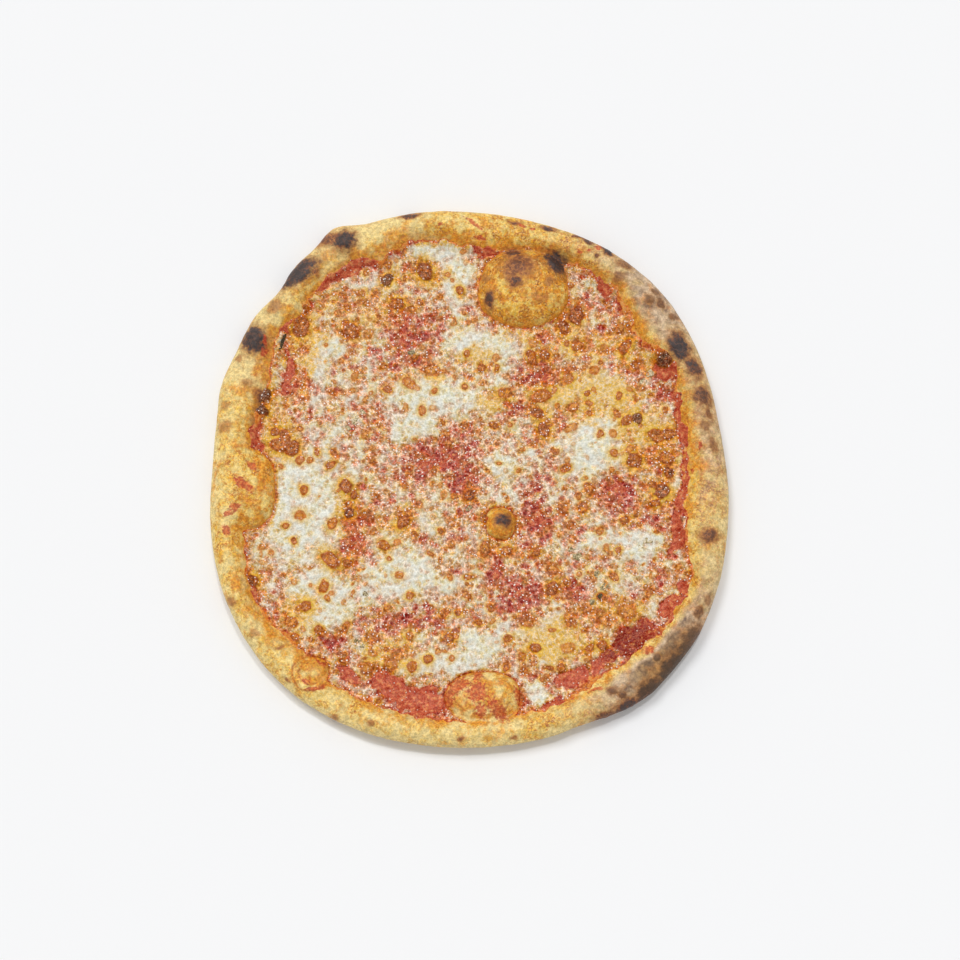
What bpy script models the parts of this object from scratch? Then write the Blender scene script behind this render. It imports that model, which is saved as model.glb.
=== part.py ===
"""A round cheese pizza: a dough crust with a puffed rim, tomato sauce and a layer of melted cheese.

Metres, +Z up. The origin is under the middle of the pizza, on the surface that it rests on.
Angles are in degrees, counted from +X towards +Y.
"""

import math

import bmesh
import bpy

MM = 0.001

# Driving dimensions of the dough
RIM_OUTER_RADIUS = 164.2 * MM  # mean, to the outermost point of the rim
RIM_WIDTH = 18.5 * MM  # from there to where the toppings meet the rim, away from its puffs
RIM_WIDTH_SWING = 2.0 * MM  # the rim is wider at +X and -X than at +Y and -Y
RIM_HEIGHT = 17.0 * MM
DOUGH_THICKNESS = 4.5 * MM  # under the toppings

# Driving dimensions of the toppings
SAUCE_THICKNESS = 1.5 * MM
CHEESE_THICKNESS = 2.0 * MM
SAUCE_SETBACK = 4.5 * MM  # from the rim's inner edge to the sauce's edge
CHEESE_SETBACK = 8.5 * MM
CHEESE_CORNER = 0.6 * MM  # the rounding of the cheese's edge
GAP = 0.3 * MM  # between pieces that touch

# The hand-stretched outline: how often a wave goes round, its height and where it is highest
OUTLINE_WAVES = (
    (1, 1.4 * MM, 220.0),
    (2, 4.5 * MM, 98.5),
    (3, 1.9 * MM, 98.0),
    (4, 3.5 * MM, 44.0),
    (5, 0.8 * MM, 43.5),
)
# Local swellings and dents of the outline: angle, half width in degrees, reach outwards
OUTLINE_BULGES = (
    (118.5, 4.0, 5.2 * MM),
    (136.0, 5.0, -4.2 * MM),
    (160.0, 6.0, 2.2 * MM),
    (180.0, 10.0, -1.4 * MM),
    (294.0, 5.0, -1.6 * MM),
    (308.0, 6.0, 1.5 * MM),
    (357.0, 8.0, 1.0 * MM),
)
# Puffs that push the rim's inner edge towards the middle: angle, half width, reach inwards
RIM_PUFFS = (
    (39.0, 8.0, 9.0 * MM),
    (86.0, 10.0, 6.0 * MM),
    (115.0, 9.0, 7.0 * MM),
    (158.0, 8.0, 6.5 * MM),
    (181.0, 6.0, 10.0 * MM),
    (211.0, 8.0, -4.0 * MM),
    (225.0, 6.0, 3.5 * MM),
    (308.0, 10.0, 6.5 * MM),
    (333.0, 5.0, -3.5 * MM),
    (350.0, 10.0, 6.0 * MM),
)
# Where the rim rose more or less in the oven: how often, by what share, where it is highest
HEIGHT_WAVES = (
    (2, 0.06, 20.0),
    (3, 0.05, 80.0),
    (5, 0.06, 115.0),
    (9, 0.04, 12.0),
)

# Dough bubbles that rose through the toppings: centre x, y, half sizes in x, y, top height
DOUGH_BUBBLES = (
    (32.8 * MM, 116.0 * MM, 29.0 * MM, 26.0 * MM, 21.0 * MM),
    (18.8 * MM, -29.5 * MM, 9.8 * MM, 10.5 * MM, 13.0 * MM),
    (-94.0 * MM, -120.5 * MM, 10.8 * MM, 10.8 * MM, 14.0 * MM),
    (8.4 * MM, -134.5 * MM, 23.8 * MM, 15.8 * MM, 15.5 * MM),
    (-135.0 * MM, -9.0 * MM, 19.0 * MM, 25.0 * MM, 18.5 * MM),
)
# Bare pools where the cheese ran away from the sauce: centre x, y, half sizes in x, y, turn
CHEESE_OPENINGS = (
    (-12.0 * MM, 11.5 * MM, 19.0 * MM, 7.0 * MM, -12.0),
    (-39.5 * MM, 83.0 * MM, 7.0 * MM, 14.0 * MM, 15.0),
    (-72.0 * MM, -34.5 * MM, 5.5 * MM, 14.0 * MM, 8.0),
    (40.0 * MM, 61.0 * MM, 11.0 * MM, 6.5 * MM, 35.0),
    (27.5 * MM, 39.0 * MM, 9.0 * MM, 5.0 * MM, 0.0),
    (-41.5 * MM, -90.0 * MM, 15.0 * MM, 6.0 * MM, -5.0),
    (91.0 * MM, -13.0 * MM, 10.0 * MM, 12.0 * MM, 10.0),
    (30.0 * MM, -74.0 * MM, 12.0 * MM, 10.0 * MM, 0.0),
)

TURN_STEPS = 128  # facets round the pizza
OPENING_STEPS = 28  # facets round an opening in the cheese
BUBBLE_STEPS = 32  # facets round a dough bubble
SHARP_EDGE = 50.0  # degrees between two faces that keep an edge between them
MERGE = 0.00001


def wave_sum(angle, waves):
    """The sum of cosine waves round the pizza at an angle."""
    return sum(size * math.cos(math.radians(count * (angle - peak))) for count, size, peak in waves)


def bump_sum(angle, bumps):
    """The sum of bell-shaped bumps round the pizza at an angle."""
    total = 0.0
    for centre, half_width, size in bumps:
        away = (angle - centre + 180.0) % 360.0 - 180.0
        total += size * math.exp(-((away / half_width) ** 2))
    return total


def outer_radius(angle):
    """The pizza's outline, as seen from above."""
    return RIM_OUTER_RADIUS + wave_sum(angle, OUTLINE_WAVES) + bump_sum(angle, OUTLINE_BULGES)


def inner_radius(angle):
    """Where the rim's inner slope meets the toppings."""
    width = RIM_WIDTH + RIM_WIDTH_SWING * math.cos(math.radians(2.0 * angle))
    return outer_radius(angle) - width - bump_sum(angle, RIM_PUFFS)


def rim_profile():
    """The crust's cross-section, from the middle of its underside to the middle of its top.

    Each point is (across, height). Across runs from 0 in the middle to 1 at the rim's inner
    edge, and on to 2 at its outermost point.
    """
    top = RIM_HEIGHT
    floor = DOUGH_THICKNESS
    underside = [(0.0, 0.0), (0.5, 0.0), (0.95, 0.0), (1.45, 0.0)]
    outside = [(1.74, 0.05 * top), (1.91, 0.2 * top), (2.0, 0.42 * top)]
    over = [(1.97, 0.63 * top), (1.84, 0.83 * top), (1.64, 0.96 * top), (1.42, top)]
    inside = [(1.22, 0.92 * top), (1.09, 0.75 * top), (1.02, 0.57 * top), (0.993, 0.42 * top)]
    well = [(0.982, 1.08 * floor), (0.968, floor), (0.6, floor), (0.3, floor), (0.0, floor)]
    return underside + outside + over + inside + well


def shaped(across, height, angle):
    """Radius and height of a profile point once the crust has its uneven form."""
    inner = inner_radius(angle)
    if across <= 1.0:
        radius = across * inner
    else:
        radius = inner + (across - 1.0) * (outer_radius(angle) - inner)
    if height > DOUGH_THICKNESS:
        rise = 1.0 + wave_sum(angle, HEIGHT_WAVES)
        height = DOUGH_THICKNESS + (height - DOUGH_THICKNESS) * rise
    return radius, height


def material(name, colour, roughness):
    """A plain Principled finish."""
    made = bpy.data.materials.new(name)
    made.use_nodes = True
    shader = made.node_tree.nodes["Principled BSDF"]
    shader.inputs["Base Color"].default_value = (*colour, 1.0)
    shader.inputs["Roughness"].default_value = roughness
    shader.inputs["Metallic"].default_value = 0.0
    return made


def mesh_object(name, bm, collection):
    """Puts a bmesh into a named object of a collection."""
    mesh = bpy.data.meshes.new(name)
    bm.to_mesh(mesh)
    bm.free()
    made = bpy.data.objects.new(name, mesh)
    collection.objects.link(made)
    return made


def turned_crust(collection):
    """The dough: its cross-section spun about Z, then given its hand-stretched shape."""
    bm = bmesh.new()
    points = [bm.verts.new((across, 0.0, height)) for across, height in rim_profile()]
    edges = [bm.edges.new(pair) for pair in zip(points, points[1:])]
    bmesh.ops.spin(
        bm,
        geom=points + edges,
        cent=(0.0, 0.0, 0.0),
        axis=(0.0, 0.0, 1.0),
        angle=2.0 * math.pi,
        steps=TURN_STEPS,
    )
    bmesh.ops.remove_doubles(bm, verts=bm.verts, dist=MERGE)
    for vert in bm.verts:
        across = math.hypot(vert.co.x, vert.co.y)
        turn = math.atan2(vert.co.y, vert.co.x)
        radius, height = shaped(across, vert.co.z, math.degrees(turn))
        vert.co = (radius * math.cos(turn), radius * math.sin(turn), height)
    bmesh.ops.recalc_face_normals(bm, faces=bm.faces)
    return mesh_object("crust", bm, collection)


def dome(name, bubble, spare, lowest, collection):
    """An egg-shaped solid in a bubble's place, grown by spare, with its underside at lowest."""
    x, y, half_x, half_y, top = bubble
    middle = DOUGH_THICKNESS
    bm = bmesh.new()
    bmesh.ops.create_uvsphere(bm, u_segments=BUBBLE_STEPS, v_segments=BUBBLE_STEPS // 2, radius=1.0)
    for vert in bm.verts:
        half_z = top + spare - middle if vert.co.z > 0.0 else middle - lowest
        vert.co = (
            x + vert.co.x * (half_x + spare),
            y + vert.co.y * (half_y + spare),
            middle + vert.co.z * half_z,
        )
    return mesh_object(name, bm, collection)


def layer_outline(setback, waves):
    """The wavy edge of a topping, set back from the rim's inner edge."""
    points = []
    for step in range(TURN_STEPS):
        angle = 360.0 * step / TURN_STEPS
        radius = inner_radius(angle) - setback - wave_sum(angle, waves)
        turn = math.radians(angle)
        points.append((radius * math.cos(turn), radius * math.sin(turn)))
    return points


def opening_outline(opening):
    """An uneven oval for a bare pool in the cheese."""
    x, y, half_x, half_y, turned = opening
    cos_turned = math.cos(math.radians(turned))
    sin_turned = math.sin(math.radians(turned))
    points = []
    for step in range(OPENING_STEPS):
        angle = 2.0 * math.pi * step / OPENING_STEPS
        ripple = 1.0 + 0.10 * math.cos(3.0 * angle + x / half_x) + 0.06 * math.sin(5.0 * angle)
        along = half_x * ripple * math.cos(angle)
        aside = half_y * ripple * math.sin(angle)
        points.append((
            x + along * cos_turned - aside * sin_turned,
            y + along * sin_turned + aside * cos_turned,
        ))
    return points


def slab(name, outlines, bottom, thickness, rounding, collection):
    """A flat layer from a filled 2D curve, turned into a welded mesh. Inner outlines are holes."""
    curve = bpy.data.curves.new(name, "CURVE")
    curve.dimensions = "2D"
    curve.fill_mode = "BOTH"
    curve.extrude = thickness / 2.0 - rounding
    curve.bevel_depth = rounding
    curve.bevel_resolution = 0
    curve.offset = -rounding
    for outline in outlines:
        spline = curve.splines.new("POLY")
        spline.points.add(len(outline) - 1)
        for point, (x, y) in zip(spline.points, outline):
            point.co = (x, y, 0.0, 1.0)
        spline.use_cyclic_u = True
    flat = bpy.data.objects.new(name + "_curve", curve)
    collection.objects.link(flat)
    bpy.context.view_layer.update()
    evaluated = flat.evaluated_get(bpy.context.evaluated_depsgraph_get())
    mesh = bpy.data.meshes.new_from_object(evaluated)
    bpy.data.objects.remove(flat)
    bm = bmesh.new()
    bm.from_mesh(mesh)
    bpy.data.meshes.remove(mesh)
    bmesh.ops.translate(bm, verts=bm.verts, vec=(0.0, 0.0, bottom + thickness / 2.0))
    bmesh.ops.remove_doubles(bm, verts=bm.verts, dist=MERGE)
    bmesh.ops.recalc_face_normals(bm, faces=bm.faces)
    return mesh_object(name, bm, collection)


def boolean(target, tool, operation):
    """Joins a shape to a piece or cuts it out of the piece."""
    modifier = target.modifiers.new(tool.name, "BOOLEAN")
    modifier.operation = operation
    modifier.object = tool
    modifier.solver = "EXACT"


def centre_shift():
    """The middle of the outline's box, which is moved to the origin."""
    angles = [360.0 * step / TURN_STEPS for step in range(TURN_STEPS)]
    xs = [outer_radius(angle) * math.cos(math.radians(angle)) for angle in angles]
    ys = [outer_radius(angle) * math.sin(math.radians(angle)) for angle in angles]
    return (max(xs) + min(xs)) / 2.0, (max(ys) + min(ys)) / 2.0


def raise_bubbles(crust, toppings, tools):
    """Joins the dough bubbles to the crust and cuts the toppings clear of them."""
    for number, bubble in enumerate(DOUGH_BUBBLES, 1):
        rise = dome(f"bubble_{number}", bubble, 0.0, 0.3 * DOUGH_THICKNESS, tools)
        room = dome(f"bubble_room_{number}", bubble, 2.0 * GAP, 0.2 * DOUGH_THICKNESS, tools)
        boolean(crust, rise, "UNION")
        for topping in toppings:
            boolean(topping, room, "DIFFERENCE")
        for tool in (rise, room):
            tool.hide_render = True
            tool.display_type = "WIRE"


def build():
    """Makes the crust, the sauce and the cheese."""
    for leftover in list(bpy.data.objects):
        bpy.data.objects.remove(leftover)
    pizza = bpy.data.collections.new("cheese_pizza")
    tools = bpy.data.collections.new("shaping_tools")
    for collection in (pizza, tools):
        bpy.context.scene.collection.children.link(collection)

    sauce_bottom = DOUGH_THICKNESS + GAP
    cheese_bottom = sauce_bottom + SAUCE_THICKNESS + GAP
    sauce_edge = layer_outline(SAUCE_SETBACK, ((7, 0.8 * MM, 10.0), (11, 0.5 * MM, 3.0)))
    cheese_edge = layer_outline(CHEESE_SETBACK, ((6, 1.6 * MM, 25.0), (13, 1.2 * MM, 9.0)))
    openings = [opening_outline(opening) for opening in CHEESE_OPENINGS]
    crust = turned_crust(pizza)
    sauce = slab("sauce", [sauce_edge], sauce_bottom, SAUCE_THICKNESS, 0.0, pizza)
    cheese = slab("cheese", [cheese_edge, *openings], cheese_bottom, CHEESE_THICKNESS, CHEESE_CORNER, pizza)
    raise_bubbles(crust, (sauce, cheese), tools)

    shift_x, shift_y = centre_shift()
    for made in [*pizza.objects, *tools.objects]:
        made.location = (-shift_x, -shift_y, 0.0)

    finishes = (
        (crust, material("baked_dough", (0.72, 0.47, 0.19), 0.75)),
        (sauce, material("tomato_sauce", (0.55, 0.10, 0.04), 0.35)),
        (cheese, material("melted_cheese", (0.86, 0.74, 0.50), 0.4)),
    )
    for made, finish in finishes:
        made.data.materials.append(finish)
        made.data.shade_smooth()
        made.data.set_sharp_from_angle(angle=math.radians(SHARP_EDGE))


build()
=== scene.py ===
# %% [markdown]
# # A whole cheese pizza, in cells
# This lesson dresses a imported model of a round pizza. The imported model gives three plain
# solids: the crust, the sauce and the cheese. Each of them is made again here with the
# surface of the real food: a puffed, scorched rim, wet sauce, and cheese full of blisters.
# Everything is in metres, with the table at Z = 0.

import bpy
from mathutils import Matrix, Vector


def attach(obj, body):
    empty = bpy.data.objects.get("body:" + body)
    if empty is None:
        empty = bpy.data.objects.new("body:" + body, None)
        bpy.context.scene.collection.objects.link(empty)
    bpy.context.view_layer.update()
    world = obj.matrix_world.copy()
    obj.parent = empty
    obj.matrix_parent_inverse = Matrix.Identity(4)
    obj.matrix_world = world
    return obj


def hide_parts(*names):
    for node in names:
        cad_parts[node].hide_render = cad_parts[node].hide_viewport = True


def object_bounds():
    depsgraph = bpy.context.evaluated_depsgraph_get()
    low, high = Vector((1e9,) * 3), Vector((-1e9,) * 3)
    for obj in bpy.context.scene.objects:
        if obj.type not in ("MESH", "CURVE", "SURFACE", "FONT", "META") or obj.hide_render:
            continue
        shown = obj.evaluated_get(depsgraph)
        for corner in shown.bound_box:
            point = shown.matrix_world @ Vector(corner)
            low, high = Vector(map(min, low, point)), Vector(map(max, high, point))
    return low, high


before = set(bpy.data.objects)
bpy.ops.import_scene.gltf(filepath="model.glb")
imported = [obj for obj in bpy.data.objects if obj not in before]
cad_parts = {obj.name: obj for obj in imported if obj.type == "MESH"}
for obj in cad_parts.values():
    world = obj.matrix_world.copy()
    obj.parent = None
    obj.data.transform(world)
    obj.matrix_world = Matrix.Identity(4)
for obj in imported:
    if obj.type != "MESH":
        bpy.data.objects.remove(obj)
cad_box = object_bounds()
print("frame box", [round(side, 4) for corner in cad_box for side in corner])

# %% Modules and units
import math
from collections import namedtuple

import bpy
import numpy as np

MM = 0.001

# %% [markdown]
# ## The camera, and a way from a photo's pixels to the pizza
# The pizza was seen from almost straight above. One pixel of the 960-pixel picture covers
# 0.61 mm at its middle. A long lens from 1.2 m away gives the same slight narrowing towards
# the far side. The same numbers, turned round, tell where on the pizza a pixel lies, so
# that blisters and scorch marks can be noted down as they are seen in the picture.

# %% Camera
PICTURE_SIDE = 960
PIXEL = 0.61 * MM
VIEW_DISTANCE = 1.2
VIEW_ELEVATION = math.radians(80.0)
MIDDLE_PIXEL = (469.8, 476.2)
SENSOR = 36.0

view_back = np.array([0.0, -math.cos(VIEW_ELEVATION), math.sin(VIEW_ELEVATION)])
view_up = np.array([0.0, math.sin(VIEW_ELEVATION), math.cos(VIEW_ELEVATION)])
view_right = np.array([1.0, 0.0, 0.0])
aim_right = (PICTURE_SIDE / 2 - MIDDLE_PIXEL[0]) * PIXEL
aim_up = (MIDDLE_PIXEL[1] - PICTURE_SIDE / 2) * PIXEL
camera_place = view_back * VIEW_DISTANCE + view_right * aim_right + view_up * aim_up

camera_tilt = (math.pi / 2 - VIEW_ELEVATION, 0.0, 0.0)
bpy.ops.object.camera_add(location=camera_place, rotation=camera_tilt)
camera = bpy.context.object
camera.name = "camera"
camera.data.sensor_width = SENSOR
camera.data.lens = SENSOR * VIEW_DISTANCE / (PICTURE_SIDE * PIXEL)
bpy.context.scene.camera = camera


def place(px, py, height):
    """The point at a height above the table that a pixel of the picture shows."""
    across = (np.asarray(px, float) - PICTURE_SIDE / 2) * PIXEL
    down = (np.asarray(py, float) - PICTURE_SIDE / 2) * PIXEL
    ray_y = -view_back[1] * VIEW_DISTANCE - down * view_up[1]
    ray_z = -view_back[2] * VIEW_DISTANCE - down * view_up[2]
    reach = (height - camera_place[2]) / ray_z
    return camera_place[0] + reach * across, camera_place[1] + reach * ray_y


print("lens", round(camera.data.lens, 2))
print("middle", [round(float(side), 5) for side in place(*MIDDLE_PIXEL, 0.0)])

# %% [markdown]
# ## The shape of the dough
# A ball of dough was stretched by hand, so its outline is a circle with slow waves and a
# few local swellings, and its rim is wider where it puffed. These are the same sizes as in
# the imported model, written as functions of the angle round the pizza.

# %% Sizes of the dough
RIM_OUTER_RADIUS = 164.2 * MM
RIM_WIDTH = 18.5 * MM
RIM_WIDTH_SWING = 2.0 * MM
RIM_HEIGHT = 17.0 * MM
DOUGH_THICKNESS = 4.5 * MM
OUTLINE_WAVES = (
    (1, 1.4 * MM, 220.0), (2, 4.5 * MM, 98.5), (3, 1.9 * MM, 98.0), (4, 3.5 * MM, 44.0),
    (5, 0.8 * MM, 43.5),
)
OUTLINE_BULGES = (
    (118.5, 4.0, 5.2 * MM), (136.0, 5.0, -4.2 * MM), (160.0, 6.0, 2.2 * MM),
    (180.0, 10.0, -1.4 * MM), (294.0, 5.0, -1.6 * MM), (308.0, 6.0, 1.5 * MM),
    (357.0, 8.0, 1.0 * MM),
)
RIM_PUFFS = (
    (39.0, 8.0, 9.0 * MM), (86.0, 10.0, 6.0 * MM), (115.0, 9.0, 7.0 * MM), (158.0, 8.0, 6.5 * MM),
    (181.0, 6.0, 10.0 * MM), (211.0, 8.0, -4.0 * MM), (225.0, 6.0, 3.5 * MM),
    (308.0, 10.0, 6.5 * MM), (333.0, 5.0, -3.5 * MM), (350.0, 10.0, 6.0 * MM),
)
HEIGHT_WAVES = ((2, 0.06, 20.0), (3, 0.05, 80.0), (5, 0.06, 115.0), (9, 0.04, 12.0))
BOX_MIDDLE = (0.21 * MM, 0.52 * MM)


def wave_sum(angle, waves):
    """The sum of cosine waves round the pizza, at angles in degrees."""
    return sum(size * np.cos(np.radians(count * (angle - peak))) for count, size, peak in waves)


def bump_sum(angle, bumps):
    """The sum of bell-shaped bumps round the pizza, at angles in degrees."""
    total = 0.0 * angle
    for centre, half_width, size in bumps:
        away = (angle - centre + 180.0) % 360.0 - 180.0
        total = total + size * np.exp(-((away / half_width) ** 2))
    return total


def outer_radius(angle):
    """The pizza's outline, as seen from above."""
    return RIM_OUTER_RADIUS + wave_sum(angle, OUTLINE_WAVES) + bump_sum(angle, OUTLINE_BULGES)


def inner_radius(angle):
    """Where the rim's inner slope meets the toppings."""
    width = RIM_WIDTH + RIM_WIDTH_SWING * np.cos(np.radians(2.0 * angle))
    return outer_radius(angle) - width - bump_sum(angle, RIM_PUFFS)


def polar(x, y):
    """Angle in degrees and radius of points, about the outline's own middle."""
    x = x + BOX_MIDDLE[0]
    y = y + BOX_MIDDLE[1]
    return np.degrees(np.arctan2(y, x)), np.hypot(x, y)


# %% [markdown]
# ## Small tools
# Baked dough and melted cheese are uneven at every size, so most of the shaping below is
# done by moving points with smooth random humps. The humps come from a small box of random
# slopes, a classic gradient noise, seeded so that the pizza is the same on every run.

# %% Random humps
LATTICE = 48  # random slopes along each side of the box
TILT = np.array([[0.36, 0.48, -0.80], [-0.80, 0.60, 0.0], [0.48, 0.64, 0.60]])
HUMP_GAIN = 1.7  # brings the humps to about -1 to 1


def humps(points, size, seed):
    """Smooth random humps about one size wide, from -1 to 1, at points of shape (n, 3)."""
    rng = np.random.default_rng(seed)
    slopes = rng.normal(size=(LATTICE, LATTICE, LATTICE, 3))
    slopes /= np.linalg.norm(slopes, axis=3, keepdims=True)
    scaled = points @ TILT / size
    cell = np.floor(scaled).astype(int)
    inside = scaled - cell
    fade = inside**3 * (inside * (inside * 6.0 - 15.0) + 10.0)
    total = np.zeros(len(points))
    for corner in np.ndindex(2, 2, 2):
        slope = slopes[tuple(((cell + corner) % LATTICE).T)]
        reach = np.einsum("ij,ij->i", slope, inside - corner)
        weight = np.prod(np.where(corner, fade, 1.0 - fade), axis=1)
        total += weight * reach
    return total * HUMP_GAIN


def flat(x, y):
    """Points of the table plane as an (n, 3) array."""
    return np.stack([x, y, np.zeros_like(x)], axis=1)


def ramp(value, low, high):
    """0 below low, 1 above high and a smooth step between them. Low may be the larger one."""
    t = np.clip((value - low) / (high - low), 0.0, 1.0)
    return t * t * (3.0 - 2.0 * t)


def turned(x, y, degrees):
    """Lengths along x and y once they are turned anticlockwise."""
    cos_turned = math.cos(math.radians(degrees))
    sin_turned = math.sin(math.radians(degrees))
    return x * cos_turned - y * sin_turned, x * sin_turned + y * cos_turned


# %% Mesh helpers
def only(piece):
    """Selects one object alone and makes it active."""
    bpy.ops.object.select_all(action="DESELECT")
    piece.select_set(True)
    bpy.context.view_layer.objects.active = piece


def added(name):
    """Names the object that an operator has just added."""
    piece = bpy.context.object
    piece.name = name
    piece.data.name = name
    return piece


def joined_as(name, pieces):
    """Joins pieces into one."""
    only(pieces[0])
    for piece in pieces:
        piece.select_set(True)
    bpy.ops.object.join()
    return added(name)


def read_rows(layer, key):
    """Three numbers for each point of a mesh layer, as an (n, 3) array."""
    found = np.empty(len(layer) * 3, np.float32)
    layer.foreach_get(key, found)
    return found.reshape(-1, 3).astype(float)


def points_of(piece):
    """The places of a piece's points."""
    return read_rows(piece.data.vertices, "co")


def deselect_points():
    """Deselects a new primitive's points, which start all selected."""
    bpy.ops.object.mode_set(mode="EDIT")
    bpy.ops.mesh.select_all(action="DESELECT")
    bpy.ops.object.mode_set(mode="OBJECT")


def move_points(piece, points):
    """Gives the piece new places for its points."""
    piece.data.vertices.foreach_set("co", points.astype(np.float32).ravel())
    piece.data.update()


LARGEST_REACH = 4.0  # a reach into a mark is stored up to this, 4 times the mark's half size


def paint(piece, name, values):
    """Stores one number for each point, for the piece's material to read."""
    layer = piece.data.attributes.new(name, "FLOAT", "POINT")
    layer.data.foreach_set("value", np.asarray(values, np.float32))


def count(piece):
    """Prints how many triangles a piece has."""
    piece.data.calc_loop_triangles()
    print(piece.name, len(piece.data.loop_triangles), "triangles")


# %% [markdown]
# ## Height of the dough
# The rim's cross-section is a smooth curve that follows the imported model: flat below,
# round outside and over the top, and a slope down to the toppings. The dough bubbles are
# domes that swell out of it. Both are needed twice, for the crust itself and for whatever
# lies against it, so they are functions of the place.

# %% Rim profile
# Each point is a share of the rim's width, from 0 at its inner edge to 1 outermost, and a
# share of its height. Shares under 0 are the foot of the slope, under the toppings.
PROFILE_STEP = 0.9 * MM
PROFILE = (
    (0.45, 0.0), (0.74, 0.05), (0.91, 0.2), (1.0, 0.42), (0.97, 0.63), (0.84, 0.83),
    (0.64, 0.96), (0.42, 1.0), (0.24, 0.92), (0.10, 0.79), (0.0, 0.67), (-0.12, 0.55),
    (-0.26, 0.44), (-0.40, 0.36), (-0.52, 0.31), (-0.60, 0.29),
)
SLOPE_FOOT = 0.6  # where the slope ends, in rim widths inside the rim's inner edge
UNDERSIDE_RINGS = (0.0, 0.15, 0.3, 0.45, 0.6, 0.72, 0.82, 0.9, 0.96, 1.1, 1.4, 1.75, 1.95)
WELL_RINGS = (0.98, 0.93, 0.85, 0.7, 0.5, 0.25, 0.0)


def smooth_line(points, step, scale):
    """Points about a step apart on a smooth curve through the given ones."""
    rows = np.array([points[0], *points, points[-1]], float)
    rows[0] = 2.0 * rows[1] - rows[2]
    rows[-1] = 2.0 * rows[-2] - rows[-3]
    found = []
    for a, b, c, d in zip(rows, rows[1:], rows[2:], rows[3:]):
        parts = max(2, round(float(np.linalg.norm((c - b) * scale)) / step))
        for t in np.arange(parts) / parts:
            found.append(
                0.5 * (2.0 * b + (c - a) * t + (2.0 * a - 5.0 * b + 4.0 * c - d) * t**2
                       + (3.0 * b - a - 3.0 * c + d) * t**3)
            )
    found.append(rows[-2])
    return np.array(found)


def profile_rows():
    """The whole cross-section as (across, height): underside, rim, and floor under the toppings.

    Across runs from 0 in the middle to 1 at the slope's foot, and then in rim widths.
    """
    rim = smooth_line(PROFILE, PROFILE_STEP, (RIM_WIDTH, RIM_HEIGHT)) * (1.0, RIM_HEIGHT)
    rim[:, 0] = 1.0 + SLOPE_FOOT + np.minimum(rim[:, 0], 1.0)
    underside = [(across, 0.0) for across in UNDERSIDE_RINGS]
    well = [(across, DOUGH_THICKNESS) for across in WELL_RINGS]
    return np.array([*underside, *rim, *well])


ROWS = profile_rows()
top_rows = ROWS[np.argmax(ROWS[:, 0]):][::-1]


def radius_at(across, angle):
    """Turns a profile's across into a radius."""
    inner = inner_radius(angle)
    foot = inner - SLOPE_FOOT * RIM_WIDTH
    slope = foot + (across - 1.0) * RIM_WIDTH
    over = inner + (across - 1.0 - SLOPE_FOOT) * (outer_radius(angle) - inner)
    return np.where(across < 1.0, across * foot, np.where(across < 1.0 + SLOPE_FOOT, slope, over))


def across_at(radius, angle):
    """Turns a radius back into a profile's across."""
    inner = inner_radius(angle)
    foot = inner - SLOPE_FOOT * RIM_WIDTH
    slope = 1.0 + (radius - foot) / RIM_WIDTH
    over = 1.0 + SLOPE_FOOT + (radius - inner) / (outer_radius(angle) - inner)
    return np.where(radius < foot, radius / foot, np.where(radius < inner, slope, over))


def rise_share(angle):
    """How much more or less the rim rose in the oven at an angle."""
    return 1.0 + wave_sum(angle, HEIGHT_WAVES)


def lifted(height, angle):
    """A profile height once the rim has risen unevenly."""
    above = np.maximum(height - DOUGH_THICKNESS, 0.0)
    return np.minimum(height, DOUGH_THICKNESS) + above * rise_share(angle)


def rim_top(x, y):
    """Height of the rim's upper side, or of the floor under the toppings."""
    angle, radius = polar(x, y)
    height = np.interp(across_at(radius, angle), top_rows[:, 0], top_rows[:, 1])
    return lifted(height, angle)


print(len(ROWS), "rows in the profile")

# %% Dough bubbles
# Swell is the share by which a bubble reaches further to the side at swell_angle degrees.
Bubble = namedtuple("Bubble", "x y half_x half_y height swell_angle swell")
DOUGH_BUBBLES = (
    Bubble(32.8 * MM, 116.0 * MM, 28.4 * MM, 25.4 * MM, 20.2 * MM, 38.0, 0.09),
    Bubble(18.8 * MM, -29.5 * MM, 9.4 * MM, 10.2 * MM, 12.8 * MM, -60.0, 0.07),
    Bubble(-94.0 * MM, -120.5 * MM, 10.8 * MM, 10.4 * MM, 14.0 * MM, 30.0, 0.04),
    Bubble(8.4 * MM, -134.5 * MM, 23.8 * MM, 15.8 * MM, 15.3 * MM, 20.0, 0.0),
    Bubble(-135.0 * MM, -9.0 * MM, 19.0 * MM, 25.0 * MM, 17.4 * MM, 0.0, 0.0),
)
BLEND = 1.6 * MM  # how wide the rounding is where a bubble meets the dough
SQUARENESS = 2.25  # 2 is an ellipse
BUBBLE_RIPPLES = ((2, 0.015), (3, 0.02), (5, 0.012))  # waves round a bubble, and their sizes
RIPPLE_START = 40.0  # turns each bubble's ripples differently, by its place in mm
SWELL_HALF_WIDTH = 30.0
DOME_BULGE = (2.3, 0.6)  # powers: the first flattens the dome's top, the second steepens its side
FOOT_FALL = 40.0 * MM  # for each half size outside the bubble


def bubble_reach(x, y, bubble):
    """Distance from a bubble's middle, as a share of its uneven half size."""
    away_x = (x - bubble.x + BOX_MIDDLE[0]) / bubble.half_x
    away_y = (y - bubble.y + BOX_MIDDLE[1]) / bubble.half_y
    turn = np.arctan2(away_y, away_x)
    start = RIPPLE_START * bubble.y / MM
    swell = 1.0 + sum(size * np.sin(waves * turn + start) for waves, size in BUBBLE_RIPPLES)
    swell += bump_sum(np.degrees(turn), [(bubble.swell_angle, SWELL_HALF_WIDTH, bubble.swell)])
    reach = np.abs(away_x) ** SQUARENESS + np.abs(away_y) ** SQUARENESS
    return reach ** (1.0 / SQUARENESS) / swell


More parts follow.
